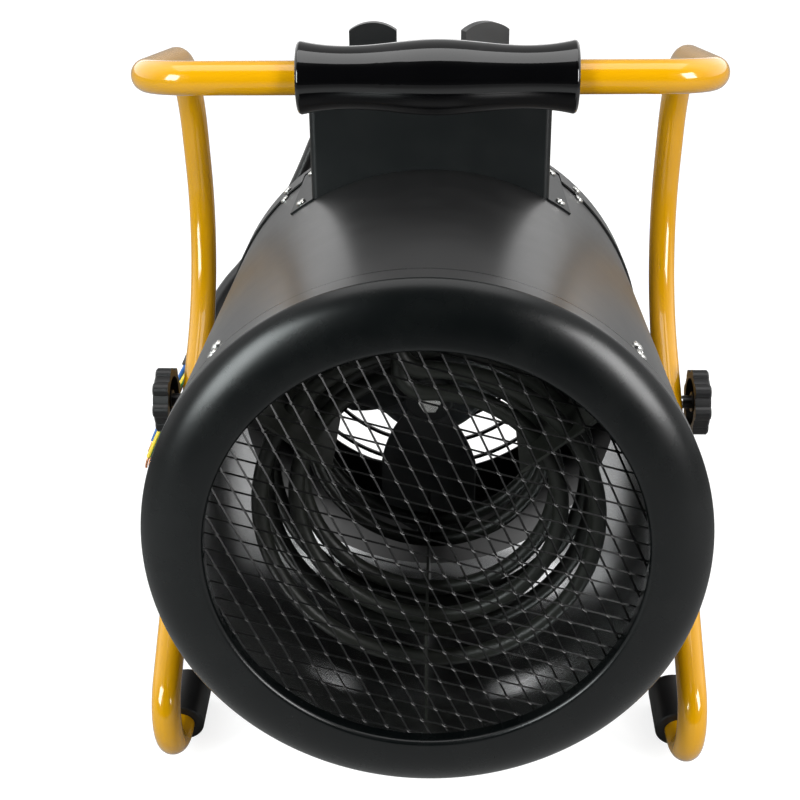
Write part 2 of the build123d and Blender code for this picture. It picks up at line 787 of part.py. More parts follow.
def make_rear_guard():
    """Round wire guard: rings on four spokes, behind the cover's opening."""
    half = guard_wire / 2
    rings = [pipe(r + half, r - half, band_end, band_end + guard_wire) for r in guard_ring_radii]
    reach = guard_ring_radii[-1]
    guard = rings[0]
    for ring in rings[1:]:
        guard += ring
    for i in range(guard_spokes):
        spoke = block((-half, half), (band_end, band_end + guard_wire), (guard_ring_radii[0], reach))
        guard += Rot(Y=45 + 360 / guard_spokes * i) * spoke
    return guard


def make_guard_clip(angle):
    """Small cleat that holds the guard's outer ring on the cover."""
    edge = guard_ring_radii[-1] + guard_wire / 2
    seat = band_end + guard_wire
    half = clip_width / 2
    cleat = block((-half, half), (band_end, seat + clip_sheet), (edge + 0.2, edge + 2 * clip_screw_offset))
    cleat += block((-half, half), (seat, seat + clip_sheet), (edge - 4, edge + 2 * clip_screw_offset))
    hole = rod(screw_shank_radius + hole_clearance, band_end - 1, seat + 5, 0, edge + clip_screw_offset)
    return Rot(Y=angle) * (cleat - hole)


def make_guard_screw(angle):
    seat = band_end + guard_wire + clip_sheet
    place = Pos(0, seat, guard_ring_radii[-1] + guard_wire / 2 + clip_screw_offset)
    return Rot(Y=angle) * place * Rot(X=-90) * screw(seat - band_end + 3)


# ---------------------------------------------------------------- control box
def tab_angle():
    """Where a mounting flange's screws sit, degrees round from the top."""
    edge = math.degrees(math.asin(box_half / drum_radius))
    return edge + math.degrees(tab_width / 2 / drum_radius)


def make_control_box():
    """Folded sheet box, saddled on the drum, with a flange along each side."""
    floor = drum_radius * 0.8
    outer = block((-box_half, box_half), (box_front, box_rear), (floor, box_top))
    outer = fillet(outer.edges().filter_by(Axis.Z), box_corner)
    inner_half = box_half - box_sheet
    along = (box_front + box_sheet, box_rear - box_sheet)
    hollow = block((-inner_half, inner_half), along, (floor - 1, box_top + 1))
    hollow = fillet(hollow.edges().filter_by(Axis.Z), box_corner - box_sheet)
    walls = outer - hollow - rod(drum_radius + 0.05, box_front - 1, box_rear + 1)
    # The rear cover's band passes under the last few millimetres of the box.
    walls -= rod(band_radius + seat_gap, drum_end, box_rear + 1)
    for side in (-1, 1):
        across = sorted((-side * (tab_width / 2 + box_sheet), side * tab_width / 2))
        sheet = pipe(drum_radius + 0.05 + box_sheet, drum_radius + 0.05, box_front, drum_end - tab_rear_margin)
        patch = block(across, (box_front, box_rear), (drum_radius * 0.7, box_top))
        walls += sheet & Rot(Y=side * tab_angle()) * patch
    walls -= radial_holes((-tab_angle(), tab_angle()), box_screw_places)
    walls -= rod(gland_thread_radius + hole_clearance, box_rear - 5, box_rear + 5, gland_x, gland_z)
    return walls - lid_screw_holes()


def make_box_lid():
    """Top panel with its lips folded down over the walls."""
    grow = lid_sheet + seat_gap
    outer = block(
        (-box_half - grow, box_half + grow),
        (box_front - grow, box_rear + grow),
        (box_top - lid_lip, box_top + lid_sheet),
    )
    outer = fillet(outer.edges().filter_by(Axis.Z), box_corner + grow)
    outer = fillet(outer.edges().group_by(Axis.Z)[-1], 1.0)
    inner = block(
        (-box_half - seat_gap, box_half + seat_gap),
        (box_front - seat_gap, box_rear + seat_gap),
        (box_top - lid_lip - 1, box_top),
    )
    inner = fillet(inner.edges().filter_by(Axis.Z), box_corner + seat_gap)
    lid = outer - inner
    for x in dial_places:
        lid -= standing(spindle_radius + 1.5, box_top - 1, box_top + 3, x, dial_line)
    return lid - lid_screw_holes()


def make_lid_screw(side, place):
    """Screw through the lid's lip into a side wall of the box."""
    spot = Pos(side * (box_half + seat_gap + lid_sheet + 0.05), place, box_top - lid_screw_drop)
    return spot * Rot(Y=side * 90) * screw(lid_screw_grip)


def lid_screw_holes():
    holes = []
    for side in (-1, 1):
        for place in lid_screw_places:
            spot = Pos(side * (box_half + 6), place, box_top - lid_screw_drop)
            holes.append(spot * Rot(Y=side * 90) * standing(screw_shank_radius + hole_clearance, -14, 4))
    return holes


def make_dial(x, turn):
    """Control knob: round skirt with a domed wing to hold."""
    skirt = chamfer(standing(dial_radius, 0, dial_base).edges().group_by(Axis.Z)[-1], 1.0)
    top = dial_base + dial_wing_height
    wing = block((-dial_radius + 0.5, dial_radius - 0.5), (-dial_wing_width / 2, dial_wing_width / 2), (1, top))
    dome = Pos(0, 0, top - 26) * Rot(X=90) * Cylinder(26, dial_wing_width + 2)
    wing &= dome + block((-20, 20), (-20, 20), (0, top - 8))
    knob = skirt + wing
    knob -= standing(spindle_radius + 0.02, -1, dial_base + 6)
    low = box_top + lid_sheet + seat_gap
    return Pos(x, dial_line, low) * Rot(Z=turn) * knob


def make_spindle(x, bottom):
    top = box_top + lid_sheet + dial_base + 5
    return standing(spindle_radius, bottom, top, x, dial_line)


def switch_tag(side, row):
    """Place under one solder tag of the rotary switch."""
    x = dial_places[0] + side * (switch_half + switch_tag_length / 2)
    return x, dial_line + switch_tag_pitch * row, box_top - switch_depth * 0.75


def make_switch_body():
    """Rotary switch under the lid: square wafer stack with two rows of tags."""
    x = dial_places[0]
    body = block(
        (x - switch_half, x + switch_half), (dial_line - switch_half, dial_line + switch_half),
        (box_top - switch_depth, box_top),
    )
    body = chamfer(body.edges().filter_by(Axis.Z), 3)
    for side in (-1, 1):
        for row in (-1, 0, 1):
            tag_x, tag_y, tag_z = switch_tag(side, row)
            reach = switch_tag_length / 2
            inner, outer = sorted((tag_x - side * (reach + 1), tag_x + side * reach))
            body += block((inner, outer), (tag_y - 2, tag_y + 2), (tag_z, tag_z + 1.2))
    return body - standing(spindle_radius + running_clearance, box_top - 16, box_top + 1, x, dial_line)


def make_thermostat_body():
    """Capillary thermostat: round cup on a square foot under the lid."""
    x = dial_places[1]
    half = thermostat_half
    foot = block((x - half, x + half), (dial_line - 14, dial_line + 14), (box_top - 9, box_top))
    cup = standing(14, box_top - thermostat_depth, box_top - 9, x, dial_line)
    return foot + cup - standing(spindle_radius + running_clearance, box_top - 16, box_top + 1, x, dial_line)


def make_capillary():
    """Copper capillary from the thermostat through the drum's slot to its sensing bulb."""
    x, drop_x = dial_places[1], wiring_slot[0] / 2 - 3
    path = FilletPolyline(
        (x, dial_line, box_top - thermostat_depth),
        (x, dial_line, drum_radius + 19.7),
        (drop_x, dial_line - 14, drum_radius + 5.7),
        (drop_x, dial_line - 14, drum_radius - 20.3),
        (drop_x, dial_line + 4, drum_radius - 26.3),
        radius=[5, 5, 5],
    )
    end = path @ 1
    return tube_along(path, 1.0) + rod(3.2, end.Y - 1, end.Y + 28, end.X, end.Z)


def make_terminal_block():
    """Supply terminals on the inside of the rear wall."""
    length, depth, height = terminal_block_size
    wall, high = box_rear - box_sheet, box_top - terminal_block_drop
    start = terminal_block_middle - length / 2
    body = block((start, start + length), (wall - depth, wall), (high - height, high))
    for i in range(5):
        body -= standing(3.4, high - 3, high + 1, start + length * (i + 0.5) / 5, wall - depth / 2)
    return body


def make_thermal_cutout():
    """Snap disc cut-out on the drum's slot edge."""
    x, place = cutout_place
    foot_top = drum_radius + 2.5
    foot = block((x - cutout_half, x + cutout_half), (place - 6, place + 6), (drum_radius - 14, foot_top))
    disc = standing(cutout_radius, foot_top - 1, foot_top + 7, x, place)
    return foot + disc - rod(drum_radius + 0.1, box_front, box_rear)


# ---------------------------------------------------------------- supply cable
def make_gland():
    """Cable gland: thread through the rear wall, hex nut, and a tapered bend relief."""
    seat = box_rear
    body = rod(gland_thread_radius, seat - 6, seat + 1)
    hexagon = extrude(RegularPolygon(gland_nut_radius, 6), gland_nut_length)
    body += Pos(0, seat, 0) * Rot(X=-90) * hexagon
    upright = (Align.CENTER, Align.CENTER, Align.MIN)
    taper = Cone(gland_thread_radius, cable_radius + 1.2, gland_tail_length, align=upright)
    body += Pos(0, seat + gland_nut_length, 0) * Rot(X=-90) * taper
    body -= rod(cable_radius + 0.02, seat - 10, seat + gland_nut_length + gland_tail_length + 1)
    return Pos(gland_x, 0, gland_z) * body


def make_gland_nut():
    """Thin lock nut on the gland's thread, inside the rear wall."""
    seat = box_rear - box_sheet
    section = RegularPolygon(gland_nut_radius + 1, 6) - Circle(gland_thread_radius + 0.05)
    return Pos(gland_x, seat, gland_z) * Rot(X=90) * extrude(section, 4.0)


def cord_turns(points):
    """Radius of the arc at each inner point: as large as its two runs allow."""
    spots = [Vector(*p) for p in points]
    radii = []
    for before, here, after in zip(spots, spots[1:], spots[2:]):
        turn = (here - before).get_angle(after - here)
        shorter = min((here - before).length, (after - here).length)
        radii.append(0.45 * shorter / math.tan(math.radians(turn / 2)))
    return radii


def make_cord(name, points, radius):
    """A free lead along hand-set points."""
    radii = cord_turns(points)
    path = FilletPolyline(*points, radius=radii)
    lead = tube_along(path, radius)
    share = lead.volume / (math.pi * radius**2 * path.length)
    print(name, "length", round(path.length, 1), "radii", [round(r) for r in radii])
    print(name, "volume share", round(share, 4))
    return lead


# ---------------------------------------------------------------- writing the parts
save("frame_tube", make_frame_tube())
save("rear_leg", make_rear_leg())
save("grip", make_grip())
save("rear_foot_sleeves", Compound(children=[make_rear_sleeve(-1), make_rear_sleeve(1)]))
for side, label in ((-1, "left"), (1, "right")):
    save(f"{label}_foot_sleeve", make_foot_sleeve(side))
    save_on_drum(f"{label}_clamp_knob", make_clamp_knob(side))
    save_on_drum(f"{label}_clamp_stud", make_clamp_stud(side))
save_on_drum("pivot_nuts", make_pivot_nut(-1), make_pivot_nut(1))
save_on_drum("pivot_spacers", make_pivot_spacer(-1), make_pivot_spacer(1))

save_on_drum("drum_shell", make_drum_shell())
save_on_drum("front_ring", make_front_ring())
save_on_drum("inner_liner", make_inner_liner())
save_on_drum("liner_brackets", *[make_liner_bracket(a) for a in liner_screw_angles])
liner_screws = [
    radial(a, y, drum_radius + 0.05) * screw(4.0) for a in liner_screw_angles for y in liner_screw_places
]
save_on_drum("liner_screws", *liner_screws)
save_on_drum("grille", make_grille())

coils = {
    "outer_element": (outer_coil_radius, outer_coil_start, outer_coil_pitch, outer_coil_turns),
    "front_element": (inner_coil_radius, front_coil_start, front_coil_pitch, front_coil_turns),
    "rear_element": (inner_coil_radius, rear_coil_start, rear_coil_pitch, rear_coil_turns),
}
for name, sizes in coils.items():
    save_on_drum(name, make_element(name, *sizes))
save_on_drum("element_collars", *[make_collar(x, y) for x, y in terminal_places()])
save_on_drum("element_terminals", *[make_terminal(x, y) for x, y in terminal_places()])
save_on_drum("element_supports", *[make_element_support(a) for a in support_angles])

save_on_drum("fan", make_fan())
save_on_drum("motor_shaft", rod(shaft_radius, shaft_start, motor_end - 11))
save_on_drum("motor", make_motor() - motor_screw_holes())
save_on_drum("motor_bracket", make_motor_bracket())
save_on_drum("motor_screws", *make_motor_screws())
bracket_screws = [
    radial(a, bracket_screw_place(), drum_radius + 0.05) * screw(4.0) for a in bracket_angles
]
save_on_drum("bracket_screws", *bracket_screws)

save_on_drum("fan_nut", make_fan_nut())

save_on_drum("rear_cover", make_rear_cover())
save_on_drum("rear_guard", make_rear_guard())
save_on_drum("guard_clips", *[make_guard_clip(a) for a in clip_angles])
save_on_drum("guard_screws", *[make_guard_screw(a) for a in clip_angles])
band_screws = [radial(a, band_screw_place, band_radius + 0.05) * screw(5.0) for a in band_screw_angles]
save_on_drum("band_screws", *band_screws)

save_on_drum("control_box", make_control_box())
save_on_drum("box_lid", make_box_lid())
flange_top = drum_radius + 0.05 + box_sheet + 0.05
box_screws = [
    radial(side * tab_angle(), place, flange_top) * screw(4.5) for side in (-1, 1) for place in box_screw_places
]
save_on_drum("box_screws", *box_screws)
save_on_drum("lid_screws", *[make_lid_screw(side, place) for side in (-1, 1) for place in lid_screw_places])
for label, x, turn in zip(("power", "thermostat"), dial_places, dial_turn_at_rest):
    save_on_drum(f"{label}_dial", make_dial(x, turn))
    save_on_drum(f"{label}_spindle", make_spindle(x, box_top - 15.5))
save_on_drum("power_switch", make_switch_body())
save_on_drum("thermostat", make_thermostat_body())
save_on_drum("sensing_bulb", make_capillary())
save_on_drum("terminal_block", make_terminal_block())
save_on_drum("thermal_cutout", make_thermal_cutout())
save_on_drum("element_leads", *make_element_leads())
save_on_drum("cable_gland", make_gland())
save_on_drum("gland_nut", make_gland_nut())

save_on_drum("supply_cable", make_cord("supply_cable", cable_route, cable_radius))
for name, route in core_routes.items():
    save_on_drum(name, make_cord(name, route, core_radius))
save_on_drum("bare_strands", *[make_cord("bare_strands", route, copper_radius) for route in copper_routes])
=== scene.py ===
import math

import bmesh
import bpy
from mathutils import Matrix, Vector


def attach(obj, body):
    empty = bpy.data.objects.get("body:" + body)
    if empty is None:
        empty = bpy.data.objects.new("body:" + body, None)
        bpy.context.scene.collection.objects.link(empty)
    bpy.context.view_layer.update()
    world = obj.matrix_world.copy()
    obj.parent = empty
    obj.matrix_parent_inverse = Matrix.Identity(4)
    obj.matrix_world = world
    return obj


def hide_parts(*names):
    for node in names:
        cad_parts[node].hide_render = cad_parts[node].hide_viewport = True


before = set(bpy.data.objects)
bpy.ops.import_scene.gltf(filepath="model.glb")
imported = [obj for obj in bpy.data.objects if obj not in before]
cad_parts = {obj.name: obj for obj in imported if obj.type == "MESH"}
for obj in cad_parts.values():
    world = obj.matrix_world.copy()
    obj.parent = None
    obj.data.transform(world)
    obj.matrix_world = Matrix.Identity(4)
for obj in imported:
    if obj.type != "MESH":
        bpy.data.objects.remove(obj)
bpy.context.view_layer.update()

# Sizes are in millimetres until they reach Blender, where MM turns them into metres.
MM = 0.001
TILT = math.radians(9.3)  # the outlet looks up by this much
PIVOT = Vector((0.0, 64.0, 170.2))
PIVOT_BACK = 229.0  # from the mouth, along the drum's axis
PIVOT_DROP = 17.0  # below the drum's axis
ON_DRUM = (
    Matrix.Translation(PIVOT * MM)
    @ Matrix.Rotation(-TILT, 4, "X")
    @ Matrix.Translation(Vector((0.0, -PIVOT_BACK, PIVOT_DROP)) * MM)
)


def drum_place(x, y, z):
    """A place given in the drum's own frame, as a place in the scene."""
    return ON_DRUM @ (Vector((x, y, z)) * MM)


def drum_way(x, y, z):
    """A direction given in the drum's own frame, as a direction in the scene."""
    return (ON_DRUM.to_3x3() @ Vector((x, y, z))).normalized()


# ---------------------------------------------------------------- camera
FILM_WIDTH = 36.0
LENS = 58.78
LOOK_DOWN, LOOK_LEFT, ROLL = 0.41708, 0.02587, 0.01551  # radians, from the drum's axis
ROUND_THE_AXIS = math.radians(1.35)  # the camera stands turned about the drum's axis
CAMERA_PLACE = Vector((0.8, -595.37, 348.38))  # before that turn


def add_camera():
    """The photograph's view, as a place and an aim in the drum's frame."""
    camera = bpy.data.cameras.new("camera")
    camera.sensor_width = FILM_WIDTH
    camera.lens = LENS
    holder = bpy.data.objects.new("camera", camera)
    bpy.context.scene.collection.objects.link(holder)
    ahead = Vector((
        -math.sin(LOOK_LEFT) * math.cos(LOOK_DOWN),
        math.cos(LOOK_LEFT) * math.cos(LOOK_DOWN),
        -math.sin(LOOK_DOWN),
    ))
    level = Vector((math.cos(LOOK_LEFT), math.sin(LOOK_LEFT), 0.0))
    upright = level.cross(ahead)
    across = math.cos(ROLL) * level + math.sin(ROLL) * upright
    upward = math.cos(ROLL) * upright - math.sin(ROLL) * level
    lean = Matrix.Rotation(ROUND_THE_AXIS, 3, "Y")
    across, upward, back = (drum_way(*(lean @ way)) for way in (across, upward, -ahead))
    turn = Matrix((across, upward, back)).transposed().to_4x4()
    holder.matrix_world = Matrix.Translation(drum_place(*(lean @ CAMERA_PLACE))) @ turn
    bpy.context.scene.camera = holder


# ---------------------------------------------------------------- shader nodes
def feed(tree, socket, value):
    """Links a socket to another node's output, or sets it to a plain value."""
    if hasattr(value, "links"):
        tree.links.new(value, socket)
    else:
        socket.default_value = value


def math_node(tree, operation, *values, clamp=False):
    """One calculation on links or plain values; clamped, it stays between 0 and 1."""
    node = tree.nodes.new("ShaderNodeMath")
    node.operation = operation
    node.use_clamp = clamp
    for socket, value in zip(node.inputs, values):
        feed(tree, socket, value)
    return node.outputs[0]


def noise_node(tree, vector, scale, detail, roughness=0.5):
    """Soft noise around 0.5; a larger scale gives smaller spots."""
    node = tree.nodes.new("ShaderNodeTexNoise")
    node.inputs["Detail"].default_value = detail
    node.inputs["Roughness"].default_value = roughness
    tree.links.new(vector, node.inputs["Vector"])
    feed(tree, node.inputs["Scale"], scale)
    return node.outputs["Fac"]


def mix_colour(tree, factor, first, second):
    """The first colour where the factor is 0, the second where it is 1."""
    node = tree.nodes.new("ShaderNodeMix")
    node.data_type = "RGBA"
    for place, value in ((0, factor), (6, first), (7, second)):  # its colour sockets are 6 and 7
        feed(tree, node.inputs[place], value)
    return node.outputs[2]


def mix_number(tree, factor, first, second):
    """The first number where the factor is 0, the second where it is 1."""
    node = tree.nodes.new("ShaderNodeMix")
    for place, value in ((0, factor), (2, first), (3, second)):
        feed(tree, node.inputs[place], value)
    return node.outputs[0]


def smooth_range(tree, value, span, low, high):
    """Goes smoothly from low to high while the value crosses the span."""
    ramp = tree.nodes.new("ShaderNodeMapRange")
    ramp.interpolation_type = "SMOOTHSTEP"
    for socket, number in zip(("From Min", "From Max", "To Min", "To Max"), (*span, low, high)):
        ramp.inputs[socket].default_value = number
    tree.links.new(value, ramp.inputs["Value"])
    return ramp.outputs["Result"]


# ---------------------------------------------------------------- shader groups
FINISH_OUTPUTS = (
    ("Colour", "NodeSocketColor"),
    ("Roughness", "NodeSocketFloat"),
    ("Height", "NodeSocketFloat"),
)


def start_group(name, inputs):
    """A node group with the given inputs, and the three outputs that every finish needs."""
    group = bpy.data.node_groups.new(name, "ShaderNodeTree")
    for label, kind, value in inputs:
        socket = group.interface.new_socket(name=label, in_out="INPUT", socket_type=kind)
        if value is not None:
            socket.default_value = value
    for label, kind in FINISH_OUTPUTS:
        group.interface.new_socket(name=label, in_out="OUTPUT", socket_type=kind)
    put_in, put_out = group.nodes.new("NodeGroupInput"), group.nodes.new("NodeGroupOutput")
    place = group.nodes.new("ShaderNodeTexCoord").outputs["Object"]
    return group, put_in, put_out, place


def patch_mask(group, cloud, start, rise, amount):
    """Soft-edged patches where the cloud is above its start."""
    above = math_node(group, "SUBTRACT", cloud, start)
    patch = math_node(group, "MULTIPLY", above, rise, clamp=True)
    return math_node(group, "MULTIPLY", patch, amount, clamp=True)


def uneven_roughness(group, put_in, wave, middle):
    """The roughness input, swung up and down by a wave about its middle."""
    swing = math_node(group, "SUBTRACT", wave, middle)
    change = math_node(group, "MULTIPLY", swing, put_in.outputs["Roughness Spread"])
    return math_node(group, "ADD", change, put_in.outputs["Roughness"], clamp=True)


def make_coated_surface():
    """Painted, moulded or rubber surface: slow tone changes, dust, fine grain."""
    group, put_in, put_out, place = start_group("coated_surface", (
        ("Colour", "NodeSocketColor", None),
        ("Dust Colour", "NodeSocketColor", None),
        ("Tone Spread", "NodeSocketFloat", 0.1),
        ("Dust", "NodeSocketFloat", 0.1),
        ("Roughness", "NodeSocketFloat", 0.4),
        ("Roughness Spread", "NodeSocketFloat", 0.1),
        ("Grain Scale", "NodeSocketFloat", 900.0),
    ))
    slow = noise_node(group, place, scale=9.0, detail=2.0)
    cloud = noise_node(group, place, scale=38.0, detail=4.0, roughness=0.6)
    grain = noise_node(group, place, scale=put_in.outputs["Grain Scale"], detail=2.0)
    swing = math_node(group, "SUBTRACT", slow, 0.5)
    tone = math_node(group, "MULTIPLY_ADD", swing, put_in.outputs["Tone Spread"], 1.0)
    brightened = group.nodes.new("ShaderNodeVectorMath")
    brightened.operation = "SCALE"
    group.links.new(put_in.outputs["Colour"], brightened.inputs[0])
    group.links.new(tone, brightened.inputs["Scale"])
    dust = patch_mask(group, cloud, start=0.45, rise=3.0, amount=put_in.outputs["Dust"])
    colour = mix_colour(group, dust, brightened.outputs[0], put_in.outputs["Dust Colour"])
    group.links.new(colour, put_out.inputs["Colour"])
    group.links.new(uneven_roughness(group, put_in, cloud, 0.5), put_out.inputs["Roughness"])
    group.links.new(grain, put_out.inputs["Height"])
    return group


def make_drawn_metal():
    """Bare metal with fine lines along one way, stains and uneven polish."""
    group, put_in, put_out, place = start_group("drawn_metal", (
        ("Colour", "NodeSocketColor", None),
        ("Stain Colour", "NodeSocketColor", None),
        ("Stain", "NodeSocketFloat", 0.2),
        ("Roughness", "NodeSocketFloat", 0.3),
        ("Roughness Spread", "NodeSocketFloat", 0.15),
        ("Line Stretch", "NodeSocketVector", None),
    ))
    stretched = group.nodes.new("ShaderNodeVectorMath")
    stretched.operation = "MULTIPLY"
    group.links.new(place, stretched.inputs[0])
    group.links.new(put_in.outputs["Line Stretch"], stretched.inputs[1])
    lines = noise_node(group, stretched.outputs[0], scale=1.0, detail=3.0, roughness=0.6)
    cloud = noise_node(group, place, scale=26.0, detail=5.0, roughness=0.65)
    stain = patch_mask(group, cloud, start=0.42, rise=3.5, amount=put_in.outputs["Stain"])
    colour = mix_colour(group, stain, put_in.outputs["Colour"], put_in.outputs["Stain Colour"])
    group.links.new(colour, put_out.inputs["Colour"])
    both = math_node(group, "ADD", lines, cloud)
    group.links.new(uneven_roughness(group, put_in, both, 1.0), put_out.inputs["Roughness"])
    group.links.new(lines, put_out.inputs["Height"])
    return group


COATED = make_coated_surface()
DRAWN = make_drawn_metal()


# ---------------------------------------------------------------- materials
DARK_DUST = (0.07, 0.07, 0.065)
PALE_DUST = (0.35, 0.34, 0.32)
COAT_ROUGHNESS = 0.06


def start_material(name, group, values):
    """A material whose colour and roughness come from a shader group."""
    material = bpy.data.materials.new(name)
    material.use_nodes = True
    tree = material.node_tree
    shader = tree.nodes["Principled BSDF"]
    effect = tree.nodes.new("ShaderNodeGroup")
    effect.node_tree = group
    for socket, value in values.items():
        effect.inputs[socket].default_value = value
    tree.links.new(effect.outputs["Colour"], shader.inputs["Base Color"])
    tree.links.new(effect.outputs["Roughness"], shader.inputs["Roughness"])
    return material, tree, shader, effect


def add_bump(tree, shader, height, depth, strength):
    """Fine relief from a height; the depth is in millimetres."""
    bump = tree.nodes.new("ShaderNodeBump")
    bump.inputs["Strength"].default_value = strength
    bump.inputs["Distance"].default_value = depth * MM
    tree.links.new(height, bump.inputs["Height"])
    tree.links.new(bump.outputs["Normal"], shader.inputs["Normal"])


def coated(name, colour, roughness, tone=0.12, dust=0.05, spread=0.08, grain=900.0, depth=0.02,
           strength=0.3, coat=0.0, specular=0.5, dust_colour=DARK_DUST):
    """A paint, plastic or rubber; depth and strength are those of its fine relief."""
    material, tree, shader, effect = start_material(name, COATED, {
        "Colour": (*colour, 1.0),
        "Dust Colour": (*dust_colour, 1.0),
        "Tone Spread": tone,
        "Dust": dust,
        "Roughness": roughness,
        "Roughness Spread": spread,
        "Grain Scale": grain,
    })
    shader.inputs["Coat Weight"].default_value = coat
    shader.inputs["Coat Roughness"].default_value = COAT_ROUGHNESS
    shader.inputs["Specular IOR Level"].default_value = specular
    add_bump(tree, shader, effect.outputs["Height"], depth, strength)
    return material


def drawn(name, colour, roughness, stain=0.2, stain_colour=(0.25, 0.23, 0.20), spread=0.15,
          stretch=(40.0, 900.0, 40.0), depth=0.01, strength=0.25, metallic=1.0, specular=0.5):
    """A bare or heat-darkened metal; its pattern changes quickest where stretch is largest."""
    material, tree, shader, effect = start_material(name, DRAWN, {
        "Colour": (*colour, 1.0),
        "Stain Colour": (*stain_colour, 1.0),
        "Stain": stain,
        "Roughness": roughness,
        "Roughness Spread": spread,
        "Line Stretch": stretch,
    })
    shader.inputs["Metallic"].default_value = metallic
    shader.inputs["Specular IOR Level"].default_value = specular
    add_bump(tree, shader, effect.outputs["Height"], depth, strength)
    return material


YELLOW = coated(
    "yellow_enamel", (0.50, 0.242, 0.0002), 0.24, tone=0.10, dust=0.0, grain=260.0, depth=0.05,
    strength=0.10, coat=0.8, specular=0.15)
GRIP_BLACK = coated(
    "grip_gloss_black", (0.0010, 0.0010, 0.0012), 0.10, dust=0.002, grain=160.0, depth=0.05,
    strength=0.05, coat=1.0, specular=0.05)
SLEEVE_RUBBER = coated(
    "sleeve_rubber", (0.004, 0.004, 0.0045), 0.40, dust=0.04, grain=700.0, depth=0.06, specular=0.3)
SHEATH_RUBBER = coated(
    "cable_sheath", (0.006, 0.006, 0.0065), 0.42, dust=0.04, depth=0.05, specular=0.45)
KNOB_PLASTIC = coated(
    "clamp_knob_plastic", (0.0015, 0.0015, 0.002), 0.36, dust=0.04, grain=1400.0, depth=0.06,
    strength=0.5, specular=0.35)
DIAL_PLASTIC = coated(
    "dial_plastic", (0.008, 0.0085, 0.009), 0.34, dust=0.03, grain=1500.0, depth=0.04, specular=0.4)
DRUM_BLACK = coated(
    "drum_satin_black", (0.0025, 0.0024, 0.0026), 0.32, tone=0.10, dust=0.02, grain=520.0,
    depth=0.03, strength=0.07, specular=0.85)
RING_CHARCOAL = coated(
    "ring_charcoal", (0.0008, 0.0013, 0.0014), 0.27, tone=0.10, dust=0.02, grain=760.0,
    depth=0.03, strength=0.18, specular=0.28)
BOX_CHARCOAL = coated(
    "box_charcoal", (0.0030, 0.0040, 0.0042), 0.38, tone=0.10, dust=0.03, grain=760.0,
    depth=0.03, strength=0.25, specular=0.3)
MESH_BLACK = coated(
    "grille_black", (0.0012, 0.0012, 0.0012), 0.28, dust=0.01, grain=500.0, depth=0.04,
    specular=0.22)
FAN_BLACK = coated("fan_black", (0.022, 0.024, 0.024), 0.45, dust=0.04, grain=500.0, depth=0.04)
MOTOR_GREY = coated(
    "motor_grey", (0.10, 0.105, 0.11), 0.42, dust=0.08, grain=600.0, depth=0.04,
    dust_colour=PALE_DUST)
INNER_PLASTIC = coated("inner_plastic", (0.05, 0.05, 0.05), 0.5, dust_colour=PALE_DUST)
FIBRE_SLEEVE = coated(
    "fibre_sleeve", (0.50, 0.47, 0.40), 0.8, tone=0.3, dust=0.1, grain=1800.0, depth=0.15,
    strength=0.7, dust_colour=PALE_DUST)
BLUE_CORE = coated("blue_core", (0.010, 0.09, 0.32), 0.36, dust=0.02, dust_colour=PALE_DUST)
BROWN_CORE = coated("brown_core", (0.10, 0.04, 0.02), 0.36, dust=0.02, dust_colour=PALE_DUST)
ZINC = drawn("zinc_plate", (0.62, 0.62, 0.60), 0.26, stain=0.12, stretch=(300.0, 300.0, 300.0))
LINER_STEEL = drawn(
    "liner_steel", (0.90, 0.91, 0.92), 0.21, stain=0.12, stain_colour=(0.36, 0.36, 0.35),
    spread=0.10, stretch=(30.0, 400.0, 30.0), strength=0.12)
BRACKET_STEEL = drawn(
    "bracket_steel", (0.50, 0.50, 0.49), 0.34, stain=0.3, stretch=(400.0, 60.0, 400.0))
HEATER_TUBE = drawn(
    "heater_tube", (0.010, 0.011, 0.009), 0.42, stain=0.5, stain_colour=(0.005, 0.005, 0.004),
    spread=0.2, stretch=(160.0, 160.0, 160.0), depth=0.03, metallic=0.0, specular=0.22)
COPPER = drawn(
    "bare_copper", (0.85, 0.38, 0.19), 0.26, stain_colour=(0.45, 0.18, 0.09),
    stretch=(500.0, 500.0, 500.0))

EARTH_GREEN = (0.03, 0.22, 0.05)
EARTH_YELLOW = (0.72, 0.55, 0.03)
STRIPE_SIDE = (-0.75, -0.65, 0.1)  # the stripe faces this way
STRIPE_START = 0.15


def make_earth_core():
    """Green insulation with a yellow stripe along one side."""
    material, tree, shader, effect = start_material("green_yellow_core", COATED, {
        "Colour": (*EARTH_GREEN, 1.0),
        "Dust Colour": (0.3, 0.3, 0.25, 1.0),
        "Tone Spread": 0.1,
        "Dust": 0.02,
        "Roughness": 0.36,
        "Roughness Spread": 0.05,
        "Grain Scale": 900.0,
    })
    facing = tree.nodes.new("ShaderNodeTexCoord").outputs["Normal"]
    side = tree.nodes.new("ShaderNodeVectorMath")
    side.operation = "DOT_PRODUCT"
    side.inputs[1].default_value = STRIPE_SIDE
    tree.links.new(facing, side.inputs[0])
    stripe = math_node(tree, "GREATER_THAN", side.outputs["Value"], STRIPE_START)
    colour = mix_colour(tree, stripe, effect.outputs["Colour"], (*EARTH_YELLOW, 1.0))
    tree.links.new(colour, shader.inputs["Base Color"])
    add_bump(tree, shader, effect.outputs["Height"], depth=0.02, strength=0.3)
    return material


EARTH_CORE = make_earth_core()

